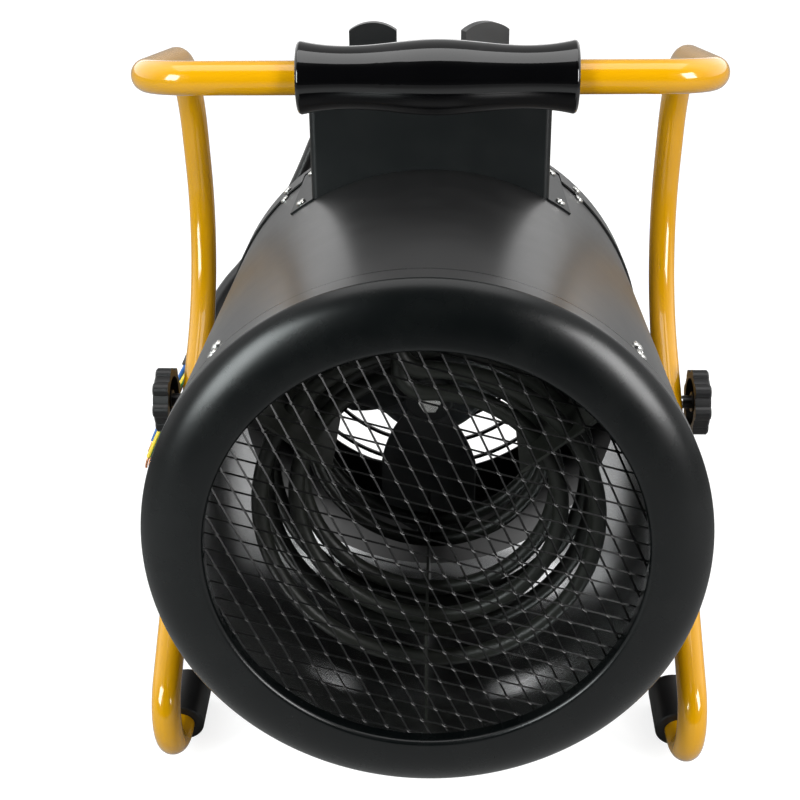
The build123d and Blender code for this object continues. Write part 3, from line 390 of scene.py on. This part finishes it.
NODE_FINISHES = {
    YELLOW: ("frame_tube", "rear_leg"),
    GRIP_BLACK: ("grip",),
    SLEEVE_RUBBER: ("left_foot_sleeve", "right_foot_sleeve", "rear_foot_sleeves"),
    KNOB_PLASTIC: (
        "left_clamp_knob", "right_clamp_knob", "pivot_spacers", "cable_gland", "gland_nut",
    ),
    DIAL_PLASTIC: ("power_dial", "thermostat_dial"),
    DRUM_BLACK: ("drum_shell", "rear_cover"),
    RING_CHARCOAL: ("front_ring",),
    BOX_CHARCOAL: ("control_box", "box_lid"),
    MESH_BLACK: ("grille", "rear_guard", "guard_clips"),
    FAN_BLACK: ("fan",),
    MOTOR_GREY: ("motor",),
    INNER_PLASTIC: ("power_switch", "terminal_block", "thermal_cutout"),
    FIBRE_SLEEVE: ("element_leads",),
    LINER_STEEL: ("inner_liner",),
    BRACKET_STEEL: ("liner_brackets", "motor_bracket", "thermostat"),
    HEATER_TUBE: ("outer_element", "front_element", "rear_element", "element_supports"),
    COPPER: ("sensing_bulb", "bare_strands"),
    SHEATH_RUBBER: ("supply_cable",),
    BLUE_CORE: ("blue_core",),
    BROWN_CORE: ("brown_core",),
    EARTH_CORE: ("earth_core",),
    ZINC: (
        "left_clamp_stud", "right_clamp_stud", "pivot_nuts", "liner_screws", "element_collars",
        "element_terminals", "motor_shaft", "fan_nut", "motor_screws", "bracket_screws",
        "guard_screws", "band_screws", "box_screws", "lid_screws", "power_spindle",
        "thermostat_spindle",
    ),
}


def finish_nodes():
    """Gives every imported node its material."""
    left = set(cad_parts)
    for material, names in NODE_FINISHES.items():
        for name in names:
            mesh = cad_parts[name].data
            mesh.materials.clear()
            mesh.materials.append(material)
            left.discard(name)
    if left:
        raise ValueError("no finish for " + ", ".join(sorted(left)))


# ---------------------------------------------------------------- making pieces
LEAD_ROUNDNESS = 5
LEAD_STEPS = 14  # between two points of a lead's route


def link(piece):
    """Puts a piece into the scene."""
    bpy.context.scene.collection.objects.link(piece)
    return piece


def mesh_piece(name, points, faces, material, body, smooth=True):
    """A closed mesh from points in metres, its faces turned outward, riding on a body."""
    mesh = bpy.data.meshes.new(name)
    mesh.from_pydata([tuple(p) for p in points], [], faces)
    mesh.validate()
    if smooth:
        mesh.polygons.foreach_set("use_smooth", [True] * len(mesh.polygons))
    mesh.materials.append(material)
    work = bmesh.new()
    work.from_mesh(mesh)
    bmesh.ops.recalc_face_normals(work, faces=work.faces)
    work.to_mesh(mesh)
    work.free()
    piece = link(bpy.data.objects.new(name, mesh))
    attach(piece, body)
    return piece


def curve_piece(name, routes, radius, material, body):
    """A smooth round lead along listed points, given in the drum's frame."""
    curve = bpy.data.curves.new(name, "CURVE")
    curve.dimensions = "3D"
    curve.bevel_depth = radius * MM
    curve.bevel_resolution = LEAD_ROUNDNESS
    curve.use_fill_caps = True
    curve.resolution_u = LEAD_STEPS
    for route in routes:
        spline = curve.splines.new("NURBS")
        spline.points.add(len(route) - 1)
        for point, place in zip(spline.points, route):
            point.co = (*drum_place(*place), 1.0)
        spline.order_u = 3
        spline.use_endpoint_u = True
    curve.materials.append(material)
    piece = link(bpy.data.objects.new(name, curve))
    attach(piece, body)
    return piece


def join_rings(faces, low, high, count):
    """Adds the wall between two rings of points, given by their first points."""
    for k in range(count):
        after = (k + 1) % count
        faces.append((low + k, low + after, high + after, high + k))


def spin_outline(points, faces, outline, steps):
    """Spins a closed outline of (radius, along) places about the drum's axis."""
    first, count = len(points), len(outline)
    for step in range(steps):
        turn = 2 * math.pi * step / steps
        points.extend(drum_place(r * math.cos(turn), y, r * math.sin(turn)) for r, y in outline)
    for step in range(steps):
        join_rings(faces, first + count * step, first + count * ((step + 1) % steps), count)


def add_beam(points, faces, sections):
    """Adds a closed bar through four-cornered sections, given in the drum's frame."""
    first = len(points)
    for section in sections:
        points.extend(drum_place(*corner) for corner in section)
    for step in range(len(sections) - 1):
        low = first + 4 * step
        join_rings(faces, low, low + 4, 4)
    faces.append((first + 3, first + 2, first + 1, first))
    last = first + 4 * (len(sections) - 1)
    faces.append((last, last + 1, last + 2, last + 3))


# ---------------------------------------------------------------- supply cable
CABLE_RADIUS = 5.4
CORE_RADIUS = 1.75
STRAND_RADIUS = 0.95
CABLE_ROUTE = (
    (-59.0, 353.0, 165.0),
    (-59.0, 384.0, 165.0),
    (-70.5, 411.0, 151.5),
    (-89.0, 422.5, 128.0),
    (-101.0, 417.5, 99.5),
    (-122.0, 410.0, 60.0),
    (-146.0, 396.0, 30.0),
    (-164.9, 378.0, 12.7),
    (-177.4, 355.5, -11.3),
    (-188.4, 334.0, -35.3),
)
CORE_ROUTES = {
    "blue_core": (
        (-190.07, 332.79, -34.16),
        (-195.7, 325.0, -43.4),
        (-204.1, 318.0, -61.2),
        (-216.1, 312.0, -89.0),
    ),
    "earth_core": (
        (-186.45, 332.79, -35.82),
        (-192.6, 321.0, -43.4),
        (-199.8, 313.5, -58.1),
        (-210.1, 308.0, -80.2),
        (-218.7, 304.0, -98.9),
    ),
    "brown_core": (
        (-189.17, 335.47, -36.97),
        (-192.8, 326.5, -46.5),
        (-198.9, 322.0, -60.6),
        (-210.2, 318.0, -84.0),
        (-218.1, 314.0, -101.2),
    ),
}
STRAND_ROUTES = (
    ((-216.12, 311.99, -89.05), (-217.9, 311.1, -93.2), (-219.6, 310.6, -97.3)),
    ((-218.72, 303.99, -98.95), (-220.6, 303.1, -103.0), (-220.9, 302.6, -107.3)),
    ((-218.12, 313.99, -101.25), (-220.1, 313.0, -105.5), (-220.7, 312.0, -110.1)),
)
CORE_FINISHES = {
    "blue_core": ("blue_insulation", BLUE_CORE),
    "earth_core": ("green_yellow_insulation", EARTH_CORE),
    "brown_core": ("brown_insulation", BROWN_CORE),
}


def add_cable():
    """The short cable with its three bare-ended cores."""
    sheath = curve_piece("cable_sheath", [CABLE_ROUTE], CABLE_RADIUS, SHEATH_RUBBER, "drum")
    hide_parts("supply_cable")
    for node, route in CORE_ROUTES.items():
        slot, material = CORE_FINISHES[node]
        core = curve_piece("lead_" + node, [route], CORE_RADIUS, material, "drum")
        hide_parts(node)
    strands = curve_piece("lead_strands", STRAND_ROUTES, STRAND_RADIUS, COPPER, "drum")
    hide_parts("bare_strands")


# ---------------------------------------------------------------- front ring
RING_SKIRT_END = 12.9
RING_HEM_SHADOW = 1.7  # painted shadow: a dark charcoal strip along the skirt's end stands in for the shade line at its step onto the drum
RING_EDGE = (146.7, -1.3)  # middle of the tight bend between skirt and face
RING_EDGE_BEND = 3.0
RING_FACE_TURN = 50.0  # degrees that the face leans outward beside that bend
RING_LIP = (118.4, -10.7)  # middle of the bend round the mouth
RING_LIP_BEND = 3.0
RING_THROAT_END = -5.7
RING_SHEET = 0.45
RING_TURN_STEPS = 240  # round the drum
RING_EDGE_STEPS, RING_FACE_STEPS, RING_LIP_STEPS = 8, 24, 10
RING_CREASE = math.radians(40.0)  # a sharper fold than this shows as an edge


def arc_places(middle, radius, start, end, count):
    """Places on an arc; an angle of 0 faces forward and 90 faces outward."""
    places = []
    for step in range(count + 1):
        angle = math.radians(start + (end - start) * step / count)
        places.append((middle[0] + radius * math.sin(angle), middle[1] - radius * math.cos(angle)))
    return places


def ring_surface(inset):
    """The ring's outer line, or its inner one when it is inset by the sheet."""
    skirt = RING_EDGE[0] + RING_EDGE_BEND - inset
    edge = arc_places(RING_EDGE, RING_EDGE_BEND - inset, 90.0, RING_FACE_TURN, RING_EDGE_STEPS)
    lip = arc_places(RING_LIP, RING_LIP_BEND - inset, 0.0, -90.0, RING_LIP_STEPS)
    start, end = edge[-1], lip[0]
    reach = (start[1] - end[1]) / math.sin(math.radians(RING_FACE_TURN))
    crown = (start[0] - reach * math.cos(math.radians(RING_FACE_TURN)), end[1])
    face = []
    for step in range(1, RING_FACE_STEPS):
        share = step / RING_FACE_STEPS
        weights = ((1 - share) ** 2, 2 * share * (1 - share), share**2)
        face.append(tuple(
            weights[0] * start[k] + weights[1] * crown[k] + weights[2] * end[k] for k in range(2)
        ))
    return [
        (skirt, RING_SKIRT_END), (skirt, RING_SKIRT_END - RING_HEM_SHADOW),
        *edge, *face, *lip, (lip[-1][0], RING_THROAT_END),
    ]


def add_front_ring():
    """Spun ring: short skirt, tight edge, domed face and rolled mouth."""
    points, faces = [], []
    outline = ring_surface(0.0) + ring_surface(RING_SHEET)[::-1]
    spin_outline(points, faces, outline, RING_TURN_STEPS)
    ring = mesh_piece("spun_front_ring", points, faces, RING_CHARCOAL, "drum")
    ring.data.set_sharp_from_angle(angle=RING_CREASE)
    ring.data.materials.append(DRUM_BLACK)
    for face in ring.data.polygons:
        if face.index % len(outline) == 1:
            face.material_index = 1  # the skirt ahead of its hem has the drum's finish; the hem strip keeps the dark charcoal as a painted shadow line
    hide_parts("front_ring")


# ---------------------------------------------------------------- expanded metal
MOUTH_FIELD = 118.5  # the strands run out to here, under the ring's lip
FIELD_OVERRUN = 1.0  # and end no further past it than this
FIELD_ROWS = 16  # to each side of the middle, more than enough to fill the mouth
GRILLE_RADIUS = 138.0
GRILLE_MIDDLE = -4.6
GRILLE_SHEET = 1.2
GRILLE_RIM_STEPS = 120
CELL_DOWN = (4.94, -11.02)  # one side of a cell, across and up
CELL_ACROSS = (12.33, -3.39)
CELL_START = (-19.5, 3.9)
STRAND_WIDTH = 1.0
STRAND_SHEET = 0.75
STRAND_LEAN = math.radians(38.0)  # stretching turns the strands out of the sheet
STRAND_WAIST = ((0.0, 1.0), (0.22, 0.92), (0.5, 0.86), (0.78, 0.92), (1.0, 1.0))
TRIM_STEP = 0.02  # share of a strand that is cut off at a time
BOND_LENGTH = 3.0
BOND_WIDTH = 1.45
BOND_SHAPE = ((-0.5, 0.35), (-0.2, 1.0), (0.2, 1.0), (0.5, 0.35))
BOND_THICKENING = 1.1
UPPER_RIGHT = Vector((0.64, 0.0, 0.77))


def across_strand(way):
    """The way across a strand in the sheet, always toward the upper right."""
    across = Vector((0.0, 1.0, 0.0)).cross(way)
    if across.dot(UPPER_RIGHT) < 0:
        across.negate()
    return across


def leaning_section(spot, across, width, sheet):
    """Four corners of a strand's section, leaning out of the sheet."""
    lift = across * math.cos(STRAND_LEAN) + Vector((0.0, math.sin(STRAND_LEAN), 0.0))
    through = Vector((0.0, math.cos(STRAND_LEAN), 0.0)) - across * math.sin(STRAND_LEAN)
    half, thin = lift * width / 2, through * sheet / 2
    return (spot - half - thin, spot + half - thin, spot + half + thin, spot - half + thin)


def add_strand(points, faces, start, end):
    """One strand from bond to bond, a little narrower in the middle."""
    across = across_strand((end - start).normalized())
    add_beam(points, faces, [
        leaning_section(start.lerp(end, share), across, STRAND_WIDTH * width, STRAND_SHEET)
        for share, width in STRAND_WAIST
    ])


def add_bond(points, faces, spot):
    """The wider place where two strands stay joined."""
    diagonal = Vector((CELL_DOWN[0] + CELL_ACROSS[0], 0.0, CELL_DOWN[1] + CELL_ACROSS[1]))
    along = diagonal.normalized()
    across = across_strand(along)
    sheet = STRAND_SHEET * BOND_THICKENING
    add_beam(points, faces, [
        leaning_section(spot + along * BOND_LENGTH * place, across, BOND_WIDTH * width, sheet)
        for place, width in BOND_SHAPE
    ])


def bond_spot(row, column):
    """The middle of one bond; rows and columns count along a cell's two sides."""
    x = CELL_START[0] + row * CELL_DOWN[0] + column * CELL_ACROSS[0]
    z = CELL_START[1] + row * CELL_DOWN[1] + column * CELL_ACROSS[1]
    return Vector((x, GRILLE_MIDDLE, z))


def from_axis(spot):
    """How far a spot lies from the drum's axis."""
    return math.hypot(spot.x, spot.z)


def add_grille():
    """Stretched steel mesh: leaning strands, joined at the bonds, in a plain rim."""
    points, faces = [], []
    for row in range(-FIELD_ROWS, FIELD_ROWS + 1):
        for column in range(-FIELD_ROWS, FIELD_ROWS + 1):
            here = bond_spot(row, column)
            if from_axis(here) < MOUTH_FIELD:
                add_bond(points, faces, here)
            for there in (bond_spot(row + 1, column), bond_spot(row, column + 1)):
                inner, outer = sorted((here, there), key=from_axis)
                if from_axis(inner) > MOUTH_FIELD:
                    continue
                share = 1.0
                while from_axis(inner.lerp(outer, share)) > MOUTH_FIELD + FIELD_OVERRUN:
                    share -= TRIM_STEP
                add_strand(points, faces, inner, inner.lerp(outer, share))
    half = GRILLE_SHEET / 2
    spin_outline(points, faces, (
        (MOUTH_FIELD, GRILLE_MIDDLE - half), (GRILLE_RADIUS, GRILLE_MIDDLE - half),
        (GRILLE_RADIUS, GRILLE_MIDDLE + half), (MOUTH_FIELD, GRILLE_MIDDLE + half),
    ), GRILLE_RIM_STEPS)
    grille = mesh_piece("expanded_metal_grille", points, faces, MESH_BLACK, "drum", smooth=False)
    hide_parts("grille")


# ---------------------------------------------------------------- cross-head screws
HEAD_RADIUS = 3.4
HEAD_HEIGHT = 1.9
HEAD_DOME = (  # shares of the head's radius and height, from its seat up
    (0.985, 0.0), (1.0, 0.12), (1.0, 0.42), (0.975, 0.62), (0.90, 0.84), (0.80, 0.95), (0.66, 1.0),
)
SHANK_RADIUS = 1.9
SHANK_TIP = (0.8, 0.5)  # the tip's share of the radius, and its length
CROSS_REACH = 1.9
CROSS_HALF = 0.42
CROSS_DEPTH = 1.3
CROSS_TAPER = ((0.25, 0.72, 0.85), (0.0, 0.3, 0.5))  # above its bottom, reach and width shares
FIRST_TWIST, NEXT_TWIST = 20.0, 37.0  # degrees, so the crosses of one set all stand differently
SCREW_CREASE = math.radians(38.0)


def cross_outline(reach_share=1.0, half_share=1.0):
    """Thirty-two points round a cross, one for each step round the head."""
    reach, half = CROSS_REACH * reach_share, CROSS_HALF * half_share
    quarter = (
        (reach, 0.0), (reach, half / 2), (reach, half), ((reach + half) / 2, half),
        (half, half), (half, (reach + half) / 2), (half, reach), (half / 2, reach),
    )
    outline = []
    for c, s in ((1, 0), (0, 1), (-1, 0), (0, -1)):
        outline.extend((c * x - s * y, s * x + c * y) for x, y in quarter)
    return outline


def screw_rings(shank):
    """Rings from the shank's end, over the domed head and down into the cross."""
    sides = len(cross_outline())
    turns = [2 * math.pi * k / sides for k in range(sides)]

    def circle(radius, height):
        return [(radius * math.cos(turn), radius * math.sin(turn), height) for turn in turns]

    def cross(height, *shares):
        return [(x, y, height) for x, y in cross_outline(*shares)]

    rings = [
        circle(SHANK_RADIUS * SHANK_TIP[0], -shank),
        circle(SHANK_RADIUS, -shank + SHANK_TIP[1]),
        circle(SHANK_RADIUS, 0.0),
    ]
    rings += [circle(HEAD_RADIUS * width, HEAD_HEIGHT * height) for width, height in HEAD_DOME]
    bottom = HEAD_HEIGHT - CROSS_DEPTH
    rings.append(cross(HEAD_HEIGHT))
    rings += [cross(bottom + rise, reach, half) for rise, reach, half in CROSS_TAPER]
    return rings


def add_screws(name, node, places, shank):
    """Every screw of one node, at places given in the drum's frame."""
    points, faces = [], []
    rings = screw_rings(shank)
    sides = len(rings[0])
    for number, place in enumerate(places):
        first = len(points)
        twist = Matrix.Rotation(math.radians(NEXT_TWIST * number + FIRST_TWIST), 4, "Z")
        for ring in rings:
            points.extend(drum_place(*(place @ twist @ Vector(spot))) for spot in ring)
        for step in range(len(rings) - 1):
            low = first + sides * step
            join_rings(faces, low, low + sides, sides)
        last = first + sides * (len(rings) - 1)
        faces.extend(tuple(start + k for k in range(sides)) for start in (first, last))
    piece = mesh_piece(name, points, faces, ZINC, "drum")
    piece.data.set_sharp_from_angle(angle=SCREW_CREASE)
    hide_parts(node)


def radial(angle, along, radius):
    """A place on the drum with Z outward, angle degrees round from the top."""
    return (
        Matrix.Translation((0.0, along, 0.0))
        @ Matrix.Rotation(math.radians(angle), 4, "Y")
        @ Matrix.Translation((0.0, 0.0, radius))
    )


def facing_back(angle, along, radius):
    """A place off the drum's axis with Z pointing backward."""
    return (
        Matrix.Rotation(math.radians(angle), 4, "Y")
        @ Matrix.Translation((0.0, along, radius))
        @ Matrix.Rotation(math.radians(-90), 4, "X")
    )


def facing_side(side, along, reach, height):
    """A place beside the control box with Z pointing away from it; side is -1 or 1."""
    return (
        Matrix.Translation((side * reach, along, height))
        @ Matrix.Rotation(math.radians(side * 90), 4, "Y")
    )


DRUM_RADIUS = 148.3
SEAT_GAP = 0.05  # under a screw's head
LINER_SCREW_ANGLES, LINER_SCREW_LINES = (-46.5, 46.5, 136.0, -136.0), (16.5, 28.5)
STRAP_SCREW_ANGLES, STRAP_SCREW_LINE = (-43.3, 43.3, 180.0), 291.8
BAND_RADIUS = 150.0
BAND_SCREW_ANGLES, BAND_SCREW_LINE = (-42.4, 42.4, 136.0, -136.0), 305.0
BOX_HALF = 75.5
BOX_TOP = 203.5
FLANGE_SEAT = 1.3  # top of the box's flange above the drum, with the gap
FLANGE_SCREW_OUT = 8.0  # from the box's wall, round the drum
FLANGE_SCREW_LINES = (223.5, 301.0)
LID_SHEET = 1.2
LID_GAP = 0.3
LID_SCREW_DROP = 5.0
LID_SCREW_LINES = (231.0, 307.0)
MOTOR_SCREW_LINE, MOTOR_SCREW_RADIUS = 296.0, 33.0
COVER_BACK = 326.0
GUARD_WIRE = 2.4
GUARD_RING_RADIUS = 124.3
CLIP_SHEET = 1.2
CLIP_SCREW_OUT = 4.8  # from the guard's outer ring


def add_all_screws():
    """The screws of every node, where the solids have them."""
    seat = DRUM_RADIUS + SEAT_GAP
    add_screws("liner_screw_heads", "liner_screws", [
        radial(angle, line, seat) for angle in LINER_SCREW_ANGLES for line in LINER_SCREW_LINES
    ], shank=4.0)
    add_screws("strap_screw_heads", "bracket_screws", [
        radial(angle, STRAP_SCREW_LINE, seat) for angle in STRAP_SCREW_ANGLES
    ], shank=4.0)
    add_screws("band_screw_heads", "band_screws", [
        radial(angle, BAND_SCREW_LINE, BAND_RADIUS + SEAT_GAP) for angle in BAND_SCREW_ANGLES
    ], shank=5.0)
    wall = math.degrees(math.asin(BOX_HALF / DRUM_RADIUS))
    flange = wall + math.degrees(FLANGE_SCREW_OUT / DRUM_RADIUS)
    add_screws("box_screw_heads", "box_screws", [
        radial(side * flange, line, DRUM_RADIUS + FLANGE_SEAT)
        for side in (-1, 1) for line in FLANGE_SCREW_LINES
    ], shank=4.5)
    lid_side = BOX_HALF + LID_GAP + LID_SHEET + SEAT_GAP
    add_screws("lid_screw_heads", "lid_screws", [
        facing_side(side, line, lid_side, BOX_TOP - LID_SCREW_DROP)
        for side in (-1, 1) for line in LID_SCREW_LINES
    ], shank=5.0)
    add_screws("motor_screw_heads", "motor_screws", [
        facing_back(45.0 + 90.0 * k, MOTOR_SCREW_LINE, MOTOR_SCREW_RADIUS) for k in range(4)
    ], shank=8.0)
    guard_line = COVER_BACK + GUARD_WIRE + CLIP_SHEET
    guard_radius = GUARD_RING_RADIUS + GUARD_WIRE / 2 + CLIP_SCREW_OUT
    add_screws("guard_screw_heads", "guard_screws", [
        facing_back(90.0 * k, guard_line, guard_radius) for k in range(4)
    ], shank=6.6)


# ---------------------------------------------------------------- marks round the dials
DIAL_LINE = 284.0
POWER_DIAL_X = -38.2
POWER_MARKS = (-60.0, -20.0, 20.0, 60.0)  # degrees from straight ahead
WARMTH_DIAL_X = 35.3
WARMTH_MARKS = (-125.0, -75.0, -25.0, 25.0, 75.0, 125.0)
LID_TOP = BOX_TOP + LID_SHEET
MARK_REACH = (18.2, 20.6)  # inner and outer end of a mark, from the dial's middle
MARK_HALF = 0.35
MARK_HEIGHT = 0.12
FIGURE_REACH = 24.0
FIGURE_SIZE = 4.6


def mark_place(middle, angle, reach):
    """A place on the lid, angle degrees round a dial from straight ahead of it."""
    turn = math.radians(angle)
    return (middle + reach * math.sin(turn), DIAL_LINE - reach * math.cos(turn), LID_TOP)


def add_dial_scale(name, middle, angles):
    """Short bare-metal marks and plain figures round one dial."""
    points, faces = [], []
    lift = Vector((0.0, 0.0, MARK_HEIGHT))
    for angle in angles:
        turn = math.radians(angle)
        side = Vector((math.cos(turn), math.sin(turn), 0.0)) * MARK_HALF
        ends = [Vector(mark_place(middle, angle, reach)) for reach in MARK_REACH]
        add_beam(points, faces, [
            (end - side, end + side, end + side + lift, end - side + lift) for end in ends
        ])
    marks = mesh_piece(name + "_marks", points, faces, ZINC, "drum", smooth=False)
    for number, angle in enumerate(angles):
        figure = bpy.data.curves.new(f"{name}_figure_{number}", "FONT")
        figure.body = str(number)
        figure.size = FIGURE_SIZE * MM
        figure.align_x, figure.align_y = "CENTER", "CENTER"
        figure.extrude = MARK_HEIGHT / 2 * MM
        figure.materials.append(ZINC)
        sign = link(bpy.data.objects.new(f"{name}_figure_{number}", figure))
        x, y, z = mark_place(middle, angle, FIGURE_REACH)
        lifted = Vector((x, y, z + MARK_HEIGHT / 2))
        sign.matrix_world = ON_DRUM @ Matrix.Translation(lifted * MM)
        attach(sign, "drum")


def add_dial_scales():
    """The scales of both dials on the lid."""
    add_dial_scale("power_dial", POWER_DIAL_X, POWER_MARKS)
    add_dial_scale("warmth_dial", WARMTH_DIAL_X, WARMTH_MARKS)


# ---------------------------------------------------------------- light and floor
BLACK, WHITE = (0.0, 0.0, 0.0, 1.0), (1.0, 1.0, 1.0, 1.0)
FLOOR_REACH = 6.0
FLOOR_GREY = (0.30, 0.30, 0.30)
FLOOR_GLOW = 0.82
FRONT_LIGHT, BACK_LIGHT = 0.04, 1.8  # what the object mirrors from the two ends of the room
FRONT_TO_BACK = (-0.62, 0.25)  # the span, in a direction's Y, that goes from one to the other
MIDDLE_SHADE = 0.75  # darkening between the two sides, above the horizon
MIDDLE_TO_SIDE = (0.10, 0.60)  # it fades over this span of X
LEVEL_TO_HIGH = (-0.02, 0.12)  # and sets in over this span of Z
LIGHT_AIM = (0.0, 0.0, 0.25)
SOFT_LIGHTS = (  # name, place and size in metres, watts, colour
    ("window_left", (-1.0, -1.0, 0.85), (0.50, 0.80), 24.0, (0.93, 1.0, 1.0)),
    ("window_right", (1.1, -0.95, 0.85), (0.50, 0.80), 25.0, (1.0, 1.0, 1.0)),
    ("overhead", (0.0, 0.05, 1.9), (1.8, 1.25), 21.0, (1.0, 1.0, 1.0)),
)


def add_soft_light(name, place, size, power, colour):
    """A rectangular light that faces the heater."""
    light = bpy.data.lights.new(name, "AREA")
    light.shape = "RECTANGLE"
    light.size, light.size_y = size
    light.energy = power
    light.color = colour
    holder = link(bpy.data.objects.new(name, light))
    way = Vector(LIGHT_AIM) - Vector(place)
    holder.location = place
    holder.rotation_euler = way.to_track_quat("-Z", "Y").to_euler()


def add_floor():
    """Plain paper floor that glows for the camera only, so it reads white."""
    floor = bpy.data.meshes.new("floor")
    corners = ((-1, -1), (1, -1), (1, 1), (-1, 1))
    places = [(x * FLOOR_REACH, y * FLOOR_REACH, 0.0) for x, y in corners]
    floor.from_pydata(places, [], [(0, 1, 2, 3)])
    paper = coated("floor_paper", FLOOR_GREY, 0.9, tone=0.01, dust=0.0, depth=0.01, specular=0.1)
    tree = paper.node_tree
    seen = tree.nodes.new("ShaderNodeLightPath").outputs["Is Camera Ray"]
    shader = tree.nodes["Principled BSDF"]
    tree.links.new(mix_colour(tree, seen, BLACK, WHITE), shader.inputs["Emission Color"])
    shader.inputs["Emission Strength"].default_value = FLOOR_GLOW
    floor.materials.append(paper)
    link(bpy.data.objects.new("floor", floor))


def add_surroundings():
    """White all round for the camera; the object mirrors a dark front and pale sides and back."""
    world = bpy.data.worlds.new("studio")
    world.use_nodes = True
    tree = world.node_tree
    way = tree.nodes.new("ShaderNodeTexCoord").outputs["Generated"]
    split = tree.nodes.new("ShaderNodeSeparateXYZ")
    tree.links.new(way, split.inputs[0])
    to_back = smooth_range(tree, split.outputs["Y"], FRONT_TO_BACK, FRONT_LIGHT, BACK_LIGHT)
    sideways = math_node(tree, "ABSOLUTE", split.outputs["X"])
    straight = smooth_range(tree, sideways, MIDDLE_TO_SIDE, 1.0, 0.0)
    above = smooth_range(tree, split.outputs["Z"], LEVEL_TO_HIGH, 0.0, MIDDLE_SHADE)
    shade = math_node(tree, "MULTIPLY", straight, above)
    kept = math_node(tree, "SUBTRACT", 1.0, shade)
    mirrored = math_node(tree, "MULTIPLY", to_back, kept)
    seen = tree.nodes.new("ShaderNodeLightPath").outputs["Is Camera Ray"]
    background = tree.nodes["Background"]
    background.inputs["Color"].default_value = WHITE
    tree.links.new(mix_number(tree, seen, mirrored, 1.0), background.inputs["Strength"])
    bpy.context.scene.world = world


def add_studio():
    """Plain soft studio light from above and both sides."""
    add_floor()
    add_surroundings()
    for soft_light in SOFT_LIGHTS:
        add_soft_light(*soft_light)
    bpy.context.scene.view_settings.view_transform = "Standard"


add_camera()
add_studio()
finish_nodes()
add_cable()
add_front_ring()
add_grille()
add_all_screws()
add_dial_scales()
